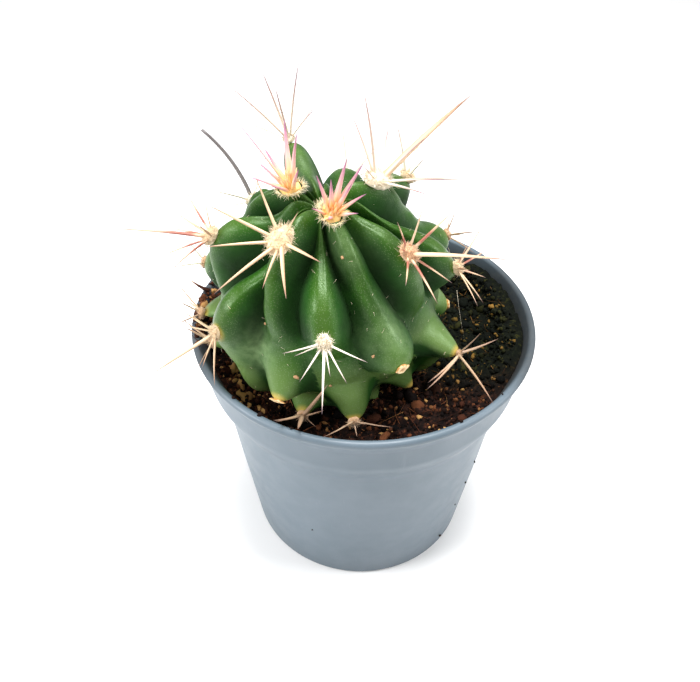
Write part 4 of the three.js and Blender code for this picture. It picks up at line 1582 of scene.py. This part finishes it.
def soil_height(x, y):
    place = Vector((x, y, 0))
    slow, lumps, grit = (high * noise.noise(place / wide) for high, wide in GROUND_WAVES.values())
    return SOIL_TOP - GROUND_DROP + slow + (abs(lumps) + grit) + BANK_HEIGHT * bank_share(x, y)


soil_corners = [
    (0, SOIL_TOP),
    (inner - SOIL_GAP, SOIL_TOP),
    (inner - SOIL_GAP, COLLAR_FOOT + WALL + SOIL_GAP),
    (SHOULDER_RADIUS - WALL - SOIL_GAP, SHOULDER_HEIGHT),
    (BASE_RADIUS - WALL - SOIL_GAP, POT_FLOOR + SOIL_GAP),
    (0, POT_FLOOR + SOIL_GAP),
]
top_corners = [(soil_corners[1][0] * n / SOIL_RINGS, SOIL_TOP) for n in range(SOIL_RINGS)]
bm = turned_profile(top_corners + soil_corners[1:], SOIL_STEPS)
for vertex in bm.verts:
    if vertex.co.z > SOIL_TOP - 0.01:
        x, y = vertex.co.x, vertex.co.y
        under = smooth(-past_stem(x, y), -0.35, 1.2)
        outwards = 1 + BANK_REACH * bank_share(x, y) / inner
        vertex.co = Vector((x * outwards, y * outwards, soil_height(x, y) - UNDER_PLANT * under))
print("soil faces:", len(bm.faces))

# %% [markdown]
# Damp peat is nearly black, and its dry grains are rust and tan. Behind the plant and at its
# right, algae and moss have turned it olive, and at the front left it is drier and paler. Two marks
# on the mesh say how mossy and how dry a place is, and the finish mixes its colours by them.

# %% Soil finish
MOSS_MIDDLE = Vector((18.0, 4.0))
MOSS_REACH = 20.0
DRY_MIDDLE = Vector((-19.0, -12.5))
DRY_REACH = 9.0


def patch_marks(x, y):
    """How mossy and how dry the soil is at a place, each from 0 to 1."""
    place = Vector((x, y))
    mossy = smooth(MOSS_REACH - (place - MOSS_MIDDLE).length, 0, 8)
    return {"moss": mossy, "dry": smooth(DRY_REACH - (place - DRY_MIDDLE).length, 0, 6)}


PEAT_SHADES = (
    (0.0, (8, 5, 5)),
    (0.4, (28, 16, 12)),
    (0.65, (60, 32, 21)),
    (0.9, (104, 62, 38)),
    (1.0, (184, 142, 88)),
)
MOSS_SHADES = (
    (0.0, (5, 8, 5)),
    (0.5, (14, 18, 9)),
    (0.78, (46, 46, 18)),
    (1.0, (124, 92, 42)),
)


def soil_finish(name, by_tone):
    finish, tree, shader = new_finish(name)
    mm = in_millimetres(tree)
    grains = cloud(tree, mm, 0.8, 4.0, 0.7)
    value = attribute(tree, "tone") if by_tone else ranged(tree, grains, 0.3, 0.85)
    paler = calculate(tree, "ADD", value, calculate(tree, "MULTIPLY", attribute(tree, "dry"), 0.2))
    peat = ramp(tree, paler, PEAT_SHADES)
    moss = ramp(tree, value, MOSS_SHADES)
    plug(tree, shader.inputs["Base Color"], mix(tree, attribute(tree, "moss"), peat, moss))
    shader.inputs["Roughness"].default_value = 0.95
    shader.inputs["Specular IOR Level"].default_value = 0.12
    bump(tree, shader, grains, 0.3, 0.8)
    return finish


ground_finish = soil_finish("peat_ground", by_tone=False)
crumb_finish = soil_finish("peat_crumbs", by_tone=True)
layers = new_marks(bm, ("moss", "dry"))
for vertex in bm.verts:
    for mark, value in patch_marks(vertex.co.x, vertex.co.y).items():
        vertex[layers[mark]] = value
soil = finish_piece(bm, "peat_soil", [ground_finish], "soil", "soil")
print("soil piece:", soil.name)

# %% [markdown]
# Crumbs come in many sizes, few large and many small. Each is a copy of a ball of few faces,
# pushed out of shape by noise, and it carries a random tone that picks its colour from dark to tan.

# %% Crumbs and fibres
SOIL_MARKS = ("tone", "moss", "dry", "along")
CRUMBS = 4200
BIG_CRUMBS = 300
CRUMB_SIZES = {"least": 0.16, "spread": 0.32, "rarity": 2.2}
BIG_CRUMB_SIZES = {"least": 0.4, "spread": 0.7, "rarity": 2}
TAN_LUMPS = ((-20.3, -9.2, 0.6), (-18.6, -12.2, 0.65), (-17.2, -14.6, 0.5), (21.6, 4.4, 0.45))
FIBRES = 420
earth = random.Random(11)
small_ball = kept_ball("small_ball", 1)
large_ball = kept_ball("large_ball", 2)


def soil_place(margin):
    """A random place on the bare soil, clear of the stem and the wall by margin."""
    while True:
        x, y = earth.uniform(-inner, inner), earth.uniform(-inner, inner)
        if math.hypot(x, y) < inner - SOIL_GAP - margin and past_stem(x, y) > margin * 0.5:
            return x, y


def add_crumb(bm, marks, ball, middle, size, tone):
    turn = Matrix.Rotation(earth.uniform(0, math.tau), 3, Vector([earth.gauss(0, 1) for _ in range(3)]))
    stretch = Vector([earth.uniform(0.55, 1.25) for _ in range(3)])
    seed = middle * 3
    patches = patch_marks(middle.x, middle.y)
    for vertex in add_copy(bm, ball):
        ragged = 1 + 0.6 * noise.noise(vertex.co * 1.3 + seed)
        ragged += 0.4 * noise.noise(vertex.co * 3.1 + seed)
        vertex.co = middle + turn @ (vertex.co * stretch) * (size * ragged)
        vertex[marks["tone"]] = tone
        for mark, value in patches.items():
            vertex[marks[mark]] = value


def add_soil_crumb(bm, marks, ball, size, tone):
    x, y = soil_place(size)
    add_crumb(bm, marks, ball, Vector((x, y, soil_height(x, y) + 0.2 * size)), size, tone)


def crumb_size(least, spread, rarity):
    """A random size, the larger the rarer."""
    return least + spread * earth.random() ** rarity


bm = bmesh.new()
marks = new_marks(bm, SOIL_MARKS)
for _ in range(CRUMBS):
    add_soil_crumb(bm, marks, small_ball, crumb_size(**CRUMB_SIZES), earth.random() ** 1.5)
for _ in range(BIG_CRUMBS):
    add_soil_crumb(bm, marks, large_ball, crumb_size(**BIG_CRUMB_SIZES), 0.85 * earth.random() ** 2)
for x, y, size in TAN_LUMPS:
    add_crumb(bm, marks, large_ball, Vector((x, y, soil_height(x, y) + 0.3 * size)), size, 1.0)
finish_piece(bm, "peat_crumbs", [crumb_finish], "soil")

bm = bmesh.new()
marks = new_marks(bm, SOIL_MARKS)
for _ in range(FIBRES):
    x, y = soil_place(0.8)
    flat = Vector((earth.gauss(0, 1), earth.gauss(0, 1), earth.gauss(0, 0.25))).normalized()
    length = 1.2 + 3.0 * earth.random() ** 2
    start = Vector((x, y, soil_height(x, y) + 0.15)) - flat * length / 2
    reach = math.hypot(start.x + flat.x * length, start.y + flat.y * length)
    if max(reach, math.hypot(start.x, start.y)) > inner - SOIL_GAP - 0.4:
        continue
    before = len(bm.verts)
    curl = Vector((earth.gauss(0, 0.25), earth.gauss(0, 0.25), 0.05)) * length
    width, tone = 0.1 + 0.16 * earth.random(), 0.35 + 0.6 * earth.random()
    add_hair(bm, marks, start, flat, length, width, curl, tone)
    for vertex in bm.verts[before:]:
        vertex[marks["moss"]] = patch_marks(x, y)["moss"] * 0.6
finish_piece(bm, "peat_fibres", [crumb_finish], "soil")
print("crumbs:", CRUMBS + BIG_CRUMBS, "fibres:", FIBRES)

# %% [markdown]
# Watering and handling have left dirt on the pot too. A heap of bark and root hairs lies over the lip
# at the left, a short twig sticks out of it, and a few grains cling to the lip and the outer wall.

# %% Dirt on the pot
HEAP_ANGLE = 180
HEAP_SPREAD = 7.5
HEAP_CRUMBS = 90
HEAP_HAIRS = 60
LIP_GRAINS = {226: 0.35, 237: 0.4, 248: 0.22, 300: 0.25, 318: 0.2}
WALL_GRAINS = ((-42, 2.5, 0.28), (-36, 11, 0.22), (-33, 17, 0.25), (-30, 22, 0.3), (-112, 14, 0.18))
TWIG_LENGTH = 3.2
TWIG_WIDTH = 0.9
TWIG_BEND = Vector((0, 0.6, 0.3))
TWIG_HEADING = Vector((-0.85, 0.25, 0.12)).normalized()


def on_ring(angle, radius, height):
    turn = math.radians(angle)
    return Vector((radius * math.cos(turn), radius * math.sin(turn), height))


bm = bmesh.new()
marks = new_marks(bm, SOIL_MARKS)
for _ in range(HEAP_CRUMBS):
    angle = HEAP_ANGLE + earth.gauss(0, HEAP_SPREAD)
    inward = earth.uniform(0, 2.6)
    drop = max(0.0, inward - 1.3) * 1.3
    place = on_ring(angle, RIM_RADIUS - 0.4 - inward, POT_HEIGHT + 0.15 - drop)
    add_crumb(bm, marks, small_ball, place, earth.uniform(0.2, 0.65), 0.5 + 0.5 * earth.random())
for _ in range(HEAP_HAIRS):
    start = on_ring(HEAP_ANGLE + earth.gauss(0, HEAP_SPREAD), RIM_RADIUS - 1, POT_HEIGHT + 0.1)
    heading = Vector((earth.gauss(0, 1), earth.gauss(0, 1.3), earth.gauss(0.1, 0.35))).normalized()
    curl = Vector((earth.gauss(0, 0.6), earth.gauss(0, 0.6), 0.3))
    add_hair(bm, marks, start, heading, earth.uniform(1, 2.6), 0.14, curl, 0.3 + 0.5 * earth.random())
for angle, size in LIP_GRAINS.items():
    add_crumb(bm, marks, small_ball, on_ring(angle, RIM_RADIUS - 0.9, POT_HEIGHT + 0.1), size, 0.4)
for angle, height, size in WALL_GRAINS:
    wall = lerp(BASE_RADIUS, SHOULDER_RADIUS, height / SHOULDER_HEIGHT)
    add_crumb(bm, marks, small_ball, on_ring(angle, wall, height), size, 0.5)
twig_start = on_ring(HEAP_ANGLE - 10, RIM_RADIUS - 1.5, POT_HEIGHT + 0.5)
before = len(bm.verts)
add_hair(bm, marks, twig_start, TWIG_HEADING, TWIG_LENGTH, TWIG_WIDTH, TWIG_BEND, 0.3)
for vertex in bm.verts[before:]:
    vertex[marks["tone"]] = 0.6 + 0.4 * smooth(vertex[marks["along"]], 0.5, 1)
finish_piece(bm, "rim_dirt", [crumb_finish], "soil")
print("pieces of dirt on the pot:", HEAP_CRUMBS + HEAP_HAIRS + len(LIP_GRAINS) + len(WALL_GRAINS) + 1)
